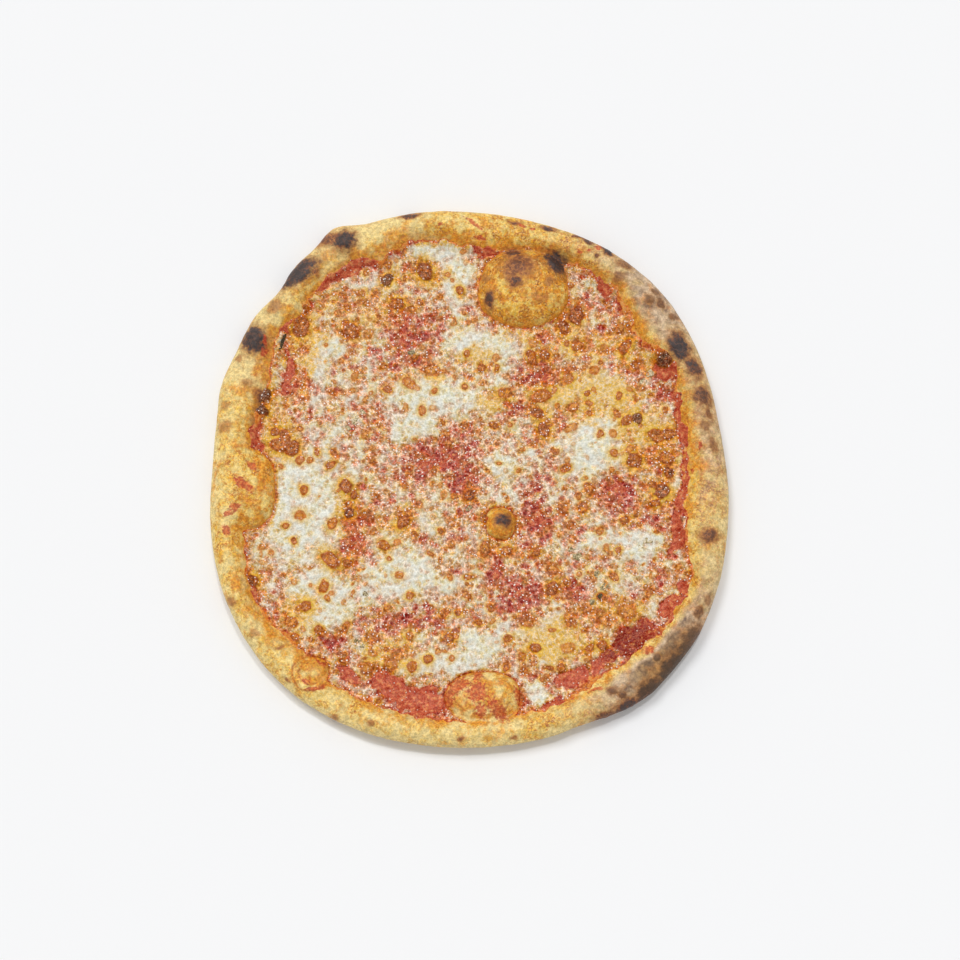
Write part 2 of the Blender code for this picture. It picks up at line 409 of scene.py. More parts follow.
def dome_height(x, y, bubble):
    """Height of a bubble's dome, falling steeply outside its foot."""
    reach = bubble_reach(x, y, bubble)
    swell = (1.0 - np.clip(reach, 0.0, 1.0) ** DOME_BULGE[0]) ** DOME_BULGE[1]
    fall = np.maximum(reach - 1.0, 0.0) * FOOT_FALL
    return DOUGH_THICKNESS + (bubble.height - DOUGH_THICKNESS) * swell - fall


def merged(a, b, blend):
    """The higher of two heights, rounded where they meet."""
    mix = np.clip(0.5 + 0.5 * (a - b) / blend, 0.0, 1.0)
    return b + (a - b) * mix + blend * mix * (1.0 - mix) * 0.5


def dough_top(x, y):
    """Height of the dough's upper side, bubbles included."""
    height = rim_top(x, y)
    for bubble in DOUGH_BUBBLES:
        height = merged(height, dome_height(x, y, bubble), BLEND)
    return height


# %% [markdown]
# ## Scorch marks
# In a very hot oven the thin skin of small bubbles in the rim turns black before the rest
# is brown. Each mark is noted as it is seen in the picture: its middle and half sizes in
# pixels, its turn, and how burnt it is. The marks are raised a little, since each of them
# is a blister. The long dark marks along the near right outer edge are partly char and
# partly painted shadow of that edge.

# %% Scorch marks and painted shadow
# middle x, y, half length, half width in pixels, turn in degrees, how burnt (how dark, for the
# painted shadow) from 0 to 1
SCORCH_AND_SHADOW_MARKS = (
    (343.5, 240, 10.5, 9, 0, 1.0), (328, 238.5, 11, 7, 25, 0.6), (298, 273, 19, 9, 38, 1.0),
    (316, 272, 4, 3, 0, 0.6), (274, 306, 8, 5, 40, 0.36), (254, 339, 10.5, 13, 12, 1.0),
    (263.7, 395, 8, 7.3, 0, 0.68), (261, 410, 6, 6, 0, 0.56), (255, 420, 5, 5, 0, 0.4),
    (247, 383, 4, 4, 0, 0.3), (239, 357, 3, 3, 0, 0.35), (410, 215, 10, 3, 8, 0.75),
    (548, 228, 7, 2.5, -12, 0.8), (578, 236, 6, 2, -15, 0.6), (589, 241, 6, 2.5, -30, 0.8),
    (607, 250, 6, 3, -50, 0.95), (596, 256, 2, 2, 0, 0.8), (516, 222, 7, 1.8, -8, 0.6),
    (680, 347, 14, 8, -70, 1.0), (693, 367, 10, 6, -60, 0.85), (703, 397, 9, 7, -60, 0.7),
    (710, 412, 6, 2.5, -75, 0.5), (705, 426, 6, 4, -70, 0.4), (714, 446, 7, 4, -80, 0.45),
    (709, 536, 9, 5, 0, 0.65), (708, 600, 4, 4, 0, 0.35), (698, 612, 4, 6, 0, 0.5),
    (225, 427, 6, 5, 0, 0.3), (225, 405, 4, 4, 0, 0.25), (231, 602, 4, 4, 0, 0.38),
    (255, 634, 4, 3, 0, 0.3), (335, 717, 3, 2.2, 0, 0.4), (370, 722, 3, 2, 0, 0.42),
    (461, 739, 3, 2, 0, 0.5), (514, 738, 3, 2.5, 0, 0.5), (280, 647, 4, 1.3, 40, 0.5),
    (286, 680, 4, 1.5, -30, 0.45), (625, 264, 7, 4, -20, 0.45), (618, 278, 6, 4, 0, 0.4),
    (648, 300, 5, 4, 0, 0.35), (661, 303, 6, 4, -50, 0.5), (656, 292, 4, 3, 0, 0.4),
    (675, 316, 4, 3, 0, 0.4), (518, 265, 14, 12, 0, 0.58), (514, 251.5, 8, 4, -10, 0.72),
    (519.5, 263.5, 7, 6, 0, 0.78), (556.5, 261, 12.5, 8.5, -50, 0.98),
    (514.3, 283.3, 7, 5, -15, 0.76), (489.3, 299.3, 4, 8, 8, 0.76), (550, 281, 5, 4, 0, 0.36),
    (540.7, 298, 9, 3, 5, 0.2), (485, 277, 3.5, 5, 0, 0.34), (503, 519, 7, 6, 0, 0.9),
    (613, 690, 4, 3, 0, 0.5), (622, 695, 4, 3, 0, 0.55), (656, 658, 3, 3, 0, 0.4),
    # The long marks from here on lie along the near right outer edge: partly char, partly painted
    # shadow of that edge.
    (692, 642, 16, 9, 56, 0.48), (676, 668, 18, 11, 46, 0.56), (652, 692, 15, 10, 36, 0.7),
    (630, 706, 14, 7, 26, 0.88), (606, 716, 10, 4, 15, 0.6),
)
MARK_HEIGHT = 16.0 * MM

# %% Sauce smears
# Thin streaks of sauce and oil on the dough: middle x, y, half sizes in pixels, turn
SAUCE_SMEARS = (
    (474, 225, 13, 1.8, -38), (481, 239, 7, 1.8, -3), (598, 248, 4, 3, 60), (579, 253, 3, 1.6, -40),
    (521, 226, 5, 1.6, -25), (532, 230, 3, 1.2, 20), (590, 252, 3.5, 1.2, 25),
    (441, 226, 4, 1.5, 10), (699, 446, 1.8, 3, -10), (693, 470, 2, 2.5, 0), (265, 341, 1.8, 6, 10),
    (264, 352, 3, 4, -30), (244, 485, 11, 4.5, -35), (235, 508, 5, 4, 30), (228.5, 515, 5, 2.5, 20),
    (252, 466, 6, 3, -50), (227, 531, 3, 5, 30), (457, 686, 12, 7, 35), (443, 702, 8, 14, -35),
    (437, 713, 9, 7, 0), (477, 692, 9, 10, 0), (478, 675, 5, 5, 0), (481, 710, 5, 7, 20),
    (522, 698, 6, 12, 25), (498, 710, 13, 6, -52), (306, 682, 4, 3, 0), (313, 689, 8, 1.5, 5),
    (321, 687, 5, 1.6, 20), (321, 663, 7, 1.6, -35), (595, 690, 7, 2, 20), (649, 650, 5, 4, 0),
    (536, 329, 5, 3, 15), (485, 518, 3, 4, 0), (517, 527, 2, 3, 30),
)
SMEAR_HEIGHT = 14.0 * MM
FAR = 9.0  # the reach of a point that lies in no oval


def oval_reach(points, marks, height):
    """Reach into the nearest of some turned ovals (0 middle, 1 edge), and that oval's number."""
    x, y = points[:, 0], points[:, 1]
    nearest = np.full(len(x), FAR)
    which = np.zeros(len(x), int)
    for number, (px, py, half_long, half_wide, turn, *_) in enumerate(marks):
        middle_x, middle_y = place(px, py, height)
        along, aside = turned(x - middle_x, y - middle_y, -turn)
        reach = np.hypot(along / (half_long * PIXEL), aside / (half_wide * PIXEL))
        closer = reach < nearest
        nearest[closer] = reach[closer]
        which[closer] = number
    return nearest, which


def wandering(points, reach, size, seed):
    """Points pushed about by random humps, which makes ovals uneven."""
    moved = points.copy()
    moved[:, 0] += reach * humps(points, size, seed)
    moved[:, 1] += reach * humps(points, size, seed + 1)
    return moved


def scorch_and_shadow(points):
    """How far each point is from the nearest mark of scorch and painted shadow, and how dark that
    mark is.
    """
    moved = wandering(wandering(points, 1.3 * MM, 7.0 * MM, 21), 0.6 * MM, 2.6 * MM, 23)
    reach, which = oval_reach(moved, SCORCH_AND_SHADOW_MARKS, MARK_HEIGHT)
    return reach, np.array([burnt_and_shaded for *_, burnt_and_shaded in SCORCH_AND_SHADOW_MARKS])[which]


# %% [markdown]
# ## Crust
# The crust is turned: an open cross-section is spun about Z, as dough would be on a
# potter's wheel. The turned dough then gets its hand-made outline, its puffs and bubbles,
# and last its lumps, folds and fine grain.

# %% Turn the crust
TURNS = 1024
MERGE = 0.01 * MM
bpy.ops.object.select_all(action="DESELECT")
bpy.ops.mesh.primitive_circle_add(vertices=len(ROWS), radius=RIM_OUTER_RADIUS, fill_type="NOTHING")
crust = added("baked_crust")
move_points(crust, np.stack([ROWS[:, 0], 0.0 * ROWS[:, 0], ROWS[:, 1]], axis=1))
deselect_points()
for edge in crust.data.edges:
    edge.select = abs(edge.vertices[0] - edge.vertices[1]) > 1
bpy.ops.object.mode_set(mode="EDIT")
bpy.ops.mesh.select_mode(type="EDGE")
bpy.ops.mesh.delete(type="EDGE")
bpy.ops.mesh.select_mode(type="VERT")
bpy.ops.mesh.select_all(action="SELECT")
bpy.ops.mesh.spin(steps=TURNS, angle=math.tau, center=(0.0, 0.0, 0.0), axis=(0.0, 0.0, 1.0))
bpy.ops.mesh.select_all(action="SELECT")
bpy.ops.mesh.remove_doubles(threshold=MERGE)
bpy.ops.mesh.normals_make_consistent(inside=False)
bpy.ops.object.mode_set(mode="OBJECT")
count(crust)

# %% Stretch it by hand
BLISTER_RISE = 1.0 * MM  # of a wholly burnt mark
SIDE_RELIEF = 0.6  # share of the relief that the rim's outer side shows
SIDE_SETBACK = 1.2 * MM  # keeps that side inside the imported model
TOP_TURNS_SIDE = (0.1, 0.45)  # upward part of the normal, where the top goes over into the side
TOP_ROOM = 0.1 * MM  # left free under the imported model's highest point


def dough_relief(points):
    """Lumps, folds and grain of baked dough, as a rise above its smooth surface."""
    lumps = 0.9 * MM * humps(points, 27.0 * MM, 1) + 0.6 * MM * humps(points, 12.0 * MM, 2)
    folds = 0.6 * MM * (0.35 - np.abs(humps(points, 7.5 * MM, 3)))
    pocks = 0.35 * MM * (0.3 - np.abs(humps(points, 3.6 * MM, 5)))
    grain = 0.18 * MM * humps(points, 2.2 * MM, 4)
    reach, burnt_and_shaded = scorch_and_shadow(points)
    blister = burnt_and_shaded * BLISTER_RISE * ramp(reach, 1.15, 0.3)
    return lumps + folds + pocks + grain + blister


def shape_crust(piece):
    """Turns the wheel-round crust into the stretched and risen one."""
    wheel = points_of(piece)
    across = np.hypot(wheel[:, 0], wheel[:, 1])
    turn = np.arctan2(wheel[:, 1], wheel[:, 0])
    angle = np.degrees(turn)
    radius = radius_at(across, angle)
    x = radius * np.cos(turn) - BOX_MIDDLE[0]
    y = radius * np.sin(turn) - BOX_MIDDLE[1]
    z = lifted(wheel[:, 2], angle)
    outermost = ROWS[:, 0].argmax()
    slope = (across > 1.0) & (across < 2.0) & (wheel[:, 2] > 0.8 * DOUGH_THICKNESS)
    upper = (wheel[:, 2] >= ROWS[outermost, 1]) | slope
    z = np.where(upper, np.maximum(z, dough_top(x, y)), z)
    move_points(piece, np.stack([x, y, z], axis=1))
    points = points_of(piece)
    normals = read_rows(piece.data.vertex_normals, "vector")
    relief = dough_relief(points)
    up = ramp(normals[:, 2], *TOP_TURNS_SIDE) * upper
    off_table = wheel[:, 2] > 0.001 * MM
    out = (1.0 - up) * off_table * (across > 2.0)
    points[:, 2] += up * relief
    sideways = np.minimum(relief - SIDE_SETBACK, 0.0) * SIDE_RELIEF * out
    points[:, 0] += sideways * np.cos(turn)
    points[:, 1] += sideways * np.sin(turn)
    points[:, 2] = np.clip(points[:, 2], 0.0, cad_box[1].z - TOP_ROOM)
    move_points(piece, points)


shape_crust(crust)
crust.data.shade_smooth()
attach(crust, "root")
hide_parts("crust")

# %% [markdown]
# ## Dough bubbles
# Five places rose through the toppings or out of the rim's slope. Each is a fine round
# sheet, cut from a grid and laid over the dough as a skin, so that it has enough points
# for its wrinkles. Its border dips just under the crust or the toppings round it.

# %% Lay the bubble skins
SKIN_STEP = 0.8 * MM
SKIN_PROUD = 0.06 * MM  # how far the skin stands above the crust
SKIN_DIP = 2.2 * MM  # how far its border goes down
SKIN_MARGIN = 1.12  # half size of the grid, in half sizes of the bubble
SKIN_EDGE = 1.1  # where the skin is cut, in the same measure
SKIN_TOP_ROOM = 0.05 * MM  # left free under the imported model's highest point


def cut_to(piece, keep):
    """Deletes the points of a sheet where keep is false."""
    for vert, kept in zip(piece.data.vertices, keep):
        vert.select = not kept
    bpy.ops.object.mode_set(mode="EDIT")
    bpy.ops.mesh.select_mode(type="VERT")
    bpy.ops.mesh.delete(type="VERT")
    bpy.ops.object.mode_set(mode="OBJECT")


def sheet(name, x, y, half_x, half_y, step):
    """A fine flat grid about a point, with nothing selected."""
    bpy.ops.object.select_all(action="DESELECT")
    columns = max(2, round(2.0 * half_x / step))
    lines = max(2, round(2.0 * half_y / step))
    bpy.ops.mesh.primitive_grid_add(x_subdivisions=columns, y_subdivisions=lines, size=2.0)
    piece = added(name)
    deselect_points()
    move_points(piece, points_of(piece) * (half_x, half_y, 0.0) + (x, y, 0.0))
    return piece


def close_below(piece, bottom):
    """Gives an open sheet a wall down from its border and a flat bottom at a height."""
    only(piece)
    bpy.ops.object.mode_set(mode="EDIT")
    bpy.ops.mesh.select_mode(type="EDGE")
    bpy.ops.mesh.select_all(action="DESELECT")
    bpy.ops.mesh.select_non_manifold(extend=False, use_wire=False, use_multi_face=False,
                                     use_non_contiguous=False, use_verts=False)
    bpy.ops.mesh.extrude_edges_move(TRANSFORM_OT_translate={"value": (0.0, 0.0, 0.0)})
    bpy.ops.transform.resize(value=(1.0, 1.0, 0.0), center_override=(0.0, 0.0, bottom))
    bpy.ops.mesh.edge_face_add()
    bpy.ops.mesh.select_all(action="SELECT")
    bpy.ops.mesh.normals_make_consistent(inside=False)
    bpy.ops.object.mode_set(mode="OBJECT")


skins = []
for bubble in DOUGH_BUBBLES:
    middle_x = bubble.x - BOX_MIDDLE[0]
    middle_y = bubble.y - BOX_MIDDLE[1]
    half_x = SKIN_MARGIN * bubble.half_x
    half_y = SKIN_MARGIN * bubble.half_y
    skin = sheet("bubble_skin", middle_x, middle_y, half_x, half_y, SKIN_STEP)
    points = points_of(skin)
    cut_to(skin, bubble_reach(points[:, 0], points[:, 1], bubble) < SKIN_EDGE)
    points = points_of(skin)
    x, y = points[:, 0], points[:, 1]
    points[:, 2] = dough_top(x, y)
    relief = dough_relief(points)
    reach = bubble_reach(x, y, bubble)
    points[:, 2] += relief + SKIN_PROUD - SKIN_DIP * ramp(reach, 1.0, SKIN_EDGE)
    points[:, 2] = np.minimum(points[:, 2], cad_box[1].z - SKIN_TOP_ROOM)
    move_points(skin, points)
    close_below(skin, 0.7 * DOUGH_THICKNESS)
    skins.append(skin)

bubbles = joined_as("dough_bubbles", skins)
bubbles.data.shade_smooth()
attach(bubbles, "root")
count(bubbles)

# %% [markdown]
# ## Where the cheese lies thick or thin
# Grated cheese melted into pools in some places, and in others the sauce boiled through
# it. Both kinds of place are noted as ovals seen in the picture. Between them the cheese is
# a thin lace, whose thickness here comes from random humps.

# %% The toppings' edges
TOPPING_HEIGHT = 8.0 * MM
# angle and half width in degrees, and how far the toppings crept up the rim there
TOPPING_CREEP = ((31.0, 5.0, 5.0 * MM),)
RIM_WANDER = 2.4 * MM  # of the toppings' edge at the rim
BARE_SETBACK = 12.0 * MM  # keeps the toppings off bare dough
BUBBLE_EDGE = 0.96  # where the toppings end at a bubble, as a share of its half size
BARE_DOUGH = ((561, 257, 7, 8, 0),)  # middle x, y, half sizes in pixels, turn


def rim_shore(ground, wander):
    """How far each point lies inside the toppings' uneven edge at the rim."""
    angle, radius = polar(ground[:, 0], ground[:, 1])
    uneven = humps(ground, 8.0 * MM, 33) + 0.4 * humps(ground, 3.0 * MM, 34)
    bare, _ = oval_reach(ground, BARE_DOUGH, TOPPING_HEIGHT)
    inside = inner_radius(angle) - radius + bump_sum(angle, TOPPING_CREEP)
    return inside + wander * uneven - BARE_SETBACK * ramp(bare, 1.4, 0.8)


def bubble_shore(ground):
    """How far each point lies outside the nearest dough bubble."""
    outside = np.full(len(ground), 1.0)
    for bubble in DOUGH_BUBBLES:
        reach = bubble_reach(ground[:, 0], ground[:, 1], bubble)
        outside = np.minimum(outside, (reach - BUBBLE_EDGE) * bubble.half_x)
    return outside + 0.5 * MM * humps(ground, 4.0 * MM, 35)


# %% Pools and bare patches
# middle x, y, half length, half width in pixels, turn in degrees
CHEESE_POOLS = (
    (300, 510, 45, 60, 0), (430, 395, 40, 18, 0), (420, 425, 25, 15, 0), (410, 575, 30, 25, 0),
    (455, 275, 18, 25, 0), (440, 250, 30, 12, 0), (500, 465, 15, 18, 0), (560, 395, 20, 10, 0),
    (600, 390, 30, 20, 0), (595, 445, 30, 35, 0), (480, 345, 40, 15, 0), (320, 590, 35, 25, 0),
    (440, 665, 50, 12, 0), (480, 650, 25, 20, 0), (538, 690, 9, 12, 0), (550, 640, 30, 20, 0),
    (640, 545, 25, 15, 0), (318, 360, 10, 24, 0), (332, 345, 10, 8, 0), (315, 298, 7, 5, 0),
    (455, 585, 12, 6, 0), (320, 624, 26, 19, 0),
)
SAUCE_SHORES = (
    (355, 268, 18, 5, 25), (325, 283, 12, 6, 35), (288, 322, 12, 4, 75), (434, 236, 18, 4, 5),
    (480, 239, 12, 4, -5), (485, 253, 9, 4, -20), (592, 270, 13, 4, -50), (603, 288, 10, 5, -60),
    (666, 372, 9, 8, 0), (683, 420, 20, 5, -75), (687, 470, 15, 3, 85), (677, 525, 26, 5, 80),
    (685, 587, 9, 4, 80), (671, 609, 13, 8, 45), (633, 639, 19, 14, 40), (643, 627, 9, 7, 30),
    (604, 662, 14, 6, 35), (574, 678, 16, 7, 30), (552, 704, 10, 4, 10), (425, 702, 25, 13, -5),
    (395, 688, 25, 9, -25), (350, 678, 15, 5, -30), (252, 433, 4, 10, 0), (256, 449, 6, 6, 0),
    (287, 372, 3, 18, 0), (255, 590, 4, 10, 0),
)
THIN_PATCHES = (
    (405, 335, 17, 28, 0), (415, 365, 12, 10, 0), (450, 455, 33, 16, 0), (466, 475, 14, 24, 0),
    (430, 462, 23, 10, 0), (515, 410, 14, 9, 0), (535, 375, 20, 14, 0), (400, 622, 28, 12, 0),
    (350, 530, 8, 25, 0), (355, 545, 14, 15, 0), (368, 518, 8, 8, 0), (520, 595, 25, 20, 0),
    (495, 570, 10, 18, 0), (537, 520, 15, 30, 0), (620, 495, 20, 20, 0), (575, 590, 15, 12, 0),
    (668, 395, 12, 10, 0), (520, 700, 8, 10, 0), (330, 640, 16, 10, 0), (290, 385, 8, 14, 0),
)
OIL_PATCHES = (
    (390, 650, 30, 22, 0), (272, 425, 24, 34, 0), (308, 335, 20, 14, 0), (418, 274, 28, 16, 0),
    (382, 310, 34, 22, 0), (352, 525, 16, 45, 10), (530, 335, 22, 12, 0), (590, 345, 45, 16, 0),
    (640, 350, 30, 26, 0), (565, 385, 40, 16, 0), (545, 425, 14, 22, 0), (645, 440, 32, 30, 0),
    (655, 495, 20, 22, 0), (495, 400, 20, 14, 0), (298, 608, 20, 16, 0), (252, 588, 12, 22, 0),
    (560, 640, 40, 24, 0), (610, 612, 34, 16, 0), (434, 378, 12, 8, 0), (500, 545, 20, 14, 0),
    (512, 326, 10, 9, 0), (470, 355, 18, 12, 0), (400, 520, 20, 14, 0), (262, 400, 16, 28, 0),
    (318, 300, 22, 14, 30), (300, 360, 20, 40, 0), (600, 400, 50, 24, 0),
)
BARE_BAND = 4.0 * MM  # how far the cheese's edge wanders along the rim


def cheese_thickness(points):
    """Share of cheese over the sauce: under 0 none, 0.5 a lace, 1 a thick pool."""
    ground = flat(points[:, 0], points[:, 1])
    moved = wandering(wandering(ground, 3.5 * MM, 14.0 * MM, 41), 1.2 * MM, 4.5 * MM, 43)
    pool, _ = oval_reach(moved, CHEESE_POOLS, TOPPING_HEIGHT)
    thin, _ = oval_reach(moved, THIN_PATCHES, TOPPING_HEIGHT)
    bare, _ = oval_reach(moved, SAUCE_SHORES, TOPPING_HEIGHT)
    lace = 0.54 + 0.28 * humps(ground, 11.0 * MM, 45) + 0.17 * humps(ground, 5.0 * MM, 46)
    lace += 0.16 * humps(ground, 24.0 * MM, 52) + 0.05 * humps(ground, 2.4 * MM, 47)
    thick = lace + (1.0 - lace) * 0.8 * ramp(pool, 1.4, 0.5)
    ragged = 0.35 * humps(ground, 5.0 * MM, 49) + 0.25 * humps(ground, 2.6 * MM, 50)
    thick = thick + (0.1 - thick) * 0.9 * ramp(thin + ragged, 1.7, 0.3)
    thick = thick + (-0.2 - thick) * 0.9 * ramp(bare + ragged, 1.7, 0.6)
    shore = rim_shore(ground, RIM_WANDER)
    border = ramp(shore - BARE_BAND * humps(ground, 30.0 * MM, 48), 5.0 * MM, -1.5 * MM)
    thick = thick - 0.5 * border * (1.0 - 0.6 * ramp(pool, 1.4, 0.7))
    thick = np.minimum(thick, 1.15 * ramp(shore, -0.5 * MM, 3.5 * MM) - 0.15)
    return np.minimum(thick, 0.2 + 0.8 * ramp(bubble_shore(ground), 0.0, 3.0 * MM))


# %% [markdown]
# ## Blisters in the cheese
# Steam blew bubbles in the melting cheese, and their rims browned first. The larger ones
# are noted as seen in the picture. Hundreds of small ones are strewn between them by a
# seeded random choice, thickest where the cheese is lace and rare in the white pools.

# %% Blister places
# middle x, y and radius in pixels
BURNT_BLISTERS = (
    (387, 280, 5.5), (263.7, 395, 7), (261.2, 410, 6), (638, 418, 5), (664, 361, 7.5),
)
DARK_BLISTERS = (
    (425, 271, 8), (658, 437, 6), (563, 326, 5.5), (576, 315, 8), (301, 326, 9), (351, 331, 8),
    (532, 357, 6), (285, 437, 6), (275, 432, 4.5), (544, 429, 6), (537, 413, 5.5), (662, 491, 7),
    (470, 495, 5), (346, 486, 6), (349, 513, 5), (331, 560, 8), (278, 445, 7), (292, 448, 7),
    (601, 596, 4), (667, 458, 7), (354, 495, 4), (601, 433, 3), (669, 472, 5), (253, 581, 5),
    (552, 588, 6), (635, 460, 7), (397, 303, 6),
)
AMBER_BLISTERS = (
    (368, 334, 5), (361, 293, 4), (420, 302, 3), (432, 370, 7), (409, 383, 6), (417, 388, 3),
    (387, 389, 4), (355, 376, 4), (448, 275, 3), (460, 290, 4), (467, 354, 3), (482, 368, 4),
    (497, 367, 3), (545, 355, 5), (533, 343, 4), (567, 343, 3), (578, 346, 5), (563, 327, 6),
    (505, 393, 6), (541, 396, 8), (571, 428, 5), (568, 378, 6), (594, 370, 5), (604, 347, 4),
    (625, 347, 6), (620, 328, 5), (587, 393, 3), (589, 403, 3), (589, 413, 3), (617, 414, 3.5),
    (619, 396, 4), (640, 388, 4), (635, 365, 4), (573, 407, 5), (599, 435, 3), (311, 292, 3.5),
    (302, 300, 3), (326, 345, 2.5), (347, 307, 3), (338, 313, 3.5), (345, 322, 3), (306, 309, 3),
    (613, 434, 4), (626, 420, 5), (655, 434, 6), (668, 434, 6), (614, 453, 4), (612, 469, 3),
    (630, 449, 4), (566, 468, 4), (589, 488, 5), (652, 484, 4), (655, 503, 4), (625, 520, 4),
    (583, 508, 5), (563, 508, 5), (600, 531, 3.5), (570, 525, 4), (606, 548, 4), (618, 550, 3),
    (422, 411, 4), (443, 422, 2.5), (445, 433, 2.5), (493, 425, 4), (440, 485, 3), (405, 486, 3),
    (444, 495, 4), (419, 505, 4.5), (403, 522, 6), (384, 545, 5), (485, 549, 6), (506, 550, 5),
    (537, 551, 4), (552, 568, 6), (300, 460, 4), (304, 490, 4), (300, 515, 5), (332, 524, 5),
    (286, 526, 3), (294, 541, 3), (262, 548, 3), (331, 465, 4), (368, 515, 6), (348, 563, 4),
    (317, 453, 3), (365, 435, 4), (291, 622, 6), (306, 606, 5), (303, 629, 3), (295, 637, 4),
    (318, 630, 4), (346, 627, 4), (324, 587, 5), (375, 637, 4), (373, 653, 4), (390, 665, 6),
    (397, 655, 6), (367, 668, 6), (342, 660, 3), (293, 661, 3), (399, 575, 4), (450, 577, 3),
    (468, 577, 3), (444, 613, 4), (458, 613, 3), (466, 594, 4), (490, 608, 4), (479, 623, 3),
    (449, 637, 5), (508, 638, 4), (527, 622, 6), (565, 581, 3), (552, 630, 3), (536, 648, 4.5),
    (568, 648, 6), (522, 657, 4), (524, 670, 3.5), (506, 668, 3), (534, 664, 3), (550, 668, 3),
    (561, 668, 4), (542, 679, 2.5), (412, 667, 5), (428, 659, 4), (452, 658, 3), (409, 636, 4),
    (569, 616, 5), (603, 618, 7), (627, 611, 8), (590, 648, 4), (602, 645, 5), (593, 576, 4),
    (614, 577, 4), (650, 593, 4), (484, 518, 4.5), (516, 526, 3.5),
)
NOTED_SHARE = 0.95  # of the noted radius
SMALL_BLISTERS = 850
SMALL_RADIUS = (0.7 * MM, 2.0 * MM)
SMALL_FROM_RIM = 3.0 * MM  # how near to the rim a small one may lie
TRIES = 9000
STREWN_HALF = 0.15  # half the side of the square that they are strewn over
CLOSEST = 0.95  # least gap between two middles, as a share of both radii
BATCH = 4000  # points whose nearest blister is looked for at once, to save memory


def blister_places():
    """Middles, radii, browning, direction and stretch of all blisters, as arrays."""
    rng = np.random.default_rng(7)
    x, y, radius, brown = [], [], [], []
    rows_of = ((BURNT_BLISTERS, 0.9, 1.0), (DARK_BLISTERS, 0.5, 0.8), (AMBER_BLISTERS, 0.3, 0.62))
    for rows, low, high in rows_of:
        for px, py, size in rows:
            found_x, found_y = place(px, py, TOPPING_HEIGHT)
            x.append(float(found_x))
            y.append(float(found_y))
            radius.append(NOTED_SHARE * size * PIXEL)
            brown.append(rng.uniform(low, high))
    noted = len(x)
    spots = rng.uniform(-STREWN_HALF, STREWN_HALF, (TRIES, 3)) * (1.0, 1.0, 0.0)
    chance = 1.0 - 0.85 * ramp(cheese_thickness(spots), 0.55, 0.85)
    chance[rim_shore(spots, 0.0) < SMALL_FROM_RIM] = 0.0
    sizes = SMALL_RADIUS[0] + (SMALL_RADIUS[1] - SMALL_RADIUS[0]) * rng.random(len(spots)) ** 1.6
    taken = rng.random(len(spots)) < chance
    for (new_x, new_y, _), size in zip(spots[taken], sizes[taken]):
        if len(x) == SMALL_BLISTERS + noted:
            break
        apart = np.hypot(np.array(x) - new_x, np.array(y) - new_y)
        if (apart < CLOSEST * (np.array(radius) + size)).any():
            continue
        x.append(new_x)
        y.append(new_y)
        radius.append(size)
        brown.append(rng.uniform(0.05, 0.5))
    turn = rng.uniform(0.0, math.pi, len(x))
    stretch = rng.uniform(1.0, 1.3, len(x))
    return np.array(x), np.array(y), np.array(radius), np.array(brown), turn, stretch


BLISTERS = blister_places()
print(len(BLISTERS[0]), "blisters")


def blister_reach(points):
    """Reach into the nearest blister (0 middle, 1 rim), its browning and its radius."""
    x, y, radius, brown, turn, stretch = BLISTERS
    moved = wandering(flat(points[:, 0], points[:, 1]), 0.6 * MM, 3.2 * MM, 51)
    reach = np.empty(len(points))
    which = np.empty(len(points), int)
    for start in range(0, len(points), BATCH):
        part = moved[start:start + BATCH]
        away_x = part[:, :1] - x
        away_y = part[:, 1:2] - y
        along = (away_x * np.cos(turn) + away_y * np.sin(turn)) / stretch
        aside = (away_y * np.cos(turn) - away_x * np.sin(turn)) * stretch
        share = np.hypot(along, aside) / radius
        which[start:start + BATCH] = share.argmin(1)
        reach[start:start + BATCH] = share.min(1)
    return reach, brown[which], radius[which]


# %% [markdown]
# ## Sauce
# The tomato sauce was ladled on the flat dough and spread to the rim. It is a fine sheet,
# cut round, raised at its edge where it clings to the rim, with the small lumps of the
# pulp. It is closed below, inside the dough.

# %% Lay the sauce
SAUCE_TOP = 6.2 * MM
SAUCE_STEP = 1.05 * MM
DEEP_SAUCE = ((627, 642, 26, 18, 40),)  # a puddle of thicker, darker sauce
FILM = 0.5 * MM  # of sauce, where it clings to a slope of dough
CLING = 3.5 * MM  # how wide the rounding is where it starts to climb
SHORE_DIP = 2.0 * MM  # how far its edge goes down into the dough at the rim
BUBBLE_DIP = 5.0 * MM  # and at a bubble
TOPPINGS_HALF = 0.152  # half the side of the square that is cut to the toppings


def oily_edge(ground):
    """1 where orange oil gathers along dough, 0 inside and where the sauce itself shows."""
    edge = np.maximum(
        ramp(rim_shore(ground, RIM_WANDER), 6.0 * MM, 1.0 * MM),
        ramp(bubble_shore(ground), 3.5 * MM, 0.5 * MM),
    )
    moved = wandering(ground, 3.0 * MM, 9.0 * MM, 37)
    bare, _ = oval_reach(moved, SAUCE_SHORES, TOPPING_HEIGHT)
    return edge * ramp(bare, 1.1, 2.0)


def sauce_top(points):
    """Height of the sauce's surface: level, and a film that clings to the slopes of dough."""
    ground = flat(points[:, 0], points[:, 1])
    pulp = 0.35 * MM * humps(ground, 8.0 * MM, 31) + 0.28 * MM * humps(ground, 3.2 * MM, 32)
    slope = dough_top(ground[:, 0], ground[:, 1])
    on_slope = np.stack([ground[:, 0], ground[:, 1], slope], axis=1)
    cling = slope + dough_relief(on_slope) + FILM
    height = merged(cling, SAUCE_TOP + pulp, CLING) + 0.4 * pulp
    height -= SHORE_DIP * ramp(rim_shore(ground, RIM_WANDER), 1.0 * MM, -1.6 * MM)
    return height - BUBBLE_DIP * ramp(bubble_shore(ground), 0.5 * MM, -1.5 * MM)


def round_sheet(name, step, overlap):
    """A fine sheet cut a little outside the rim's inner edge."""
    piece = sheet(name, 0.0, 0.0, TOPPINGS_HALF, TOPPINGS_HALF, step)
    points = points_of(piece)
    angle, radius = polar(points[:, 0], points[:, 1])
    cut_to(piece, radius < inner_radius(angle) + overlap)
    return piece


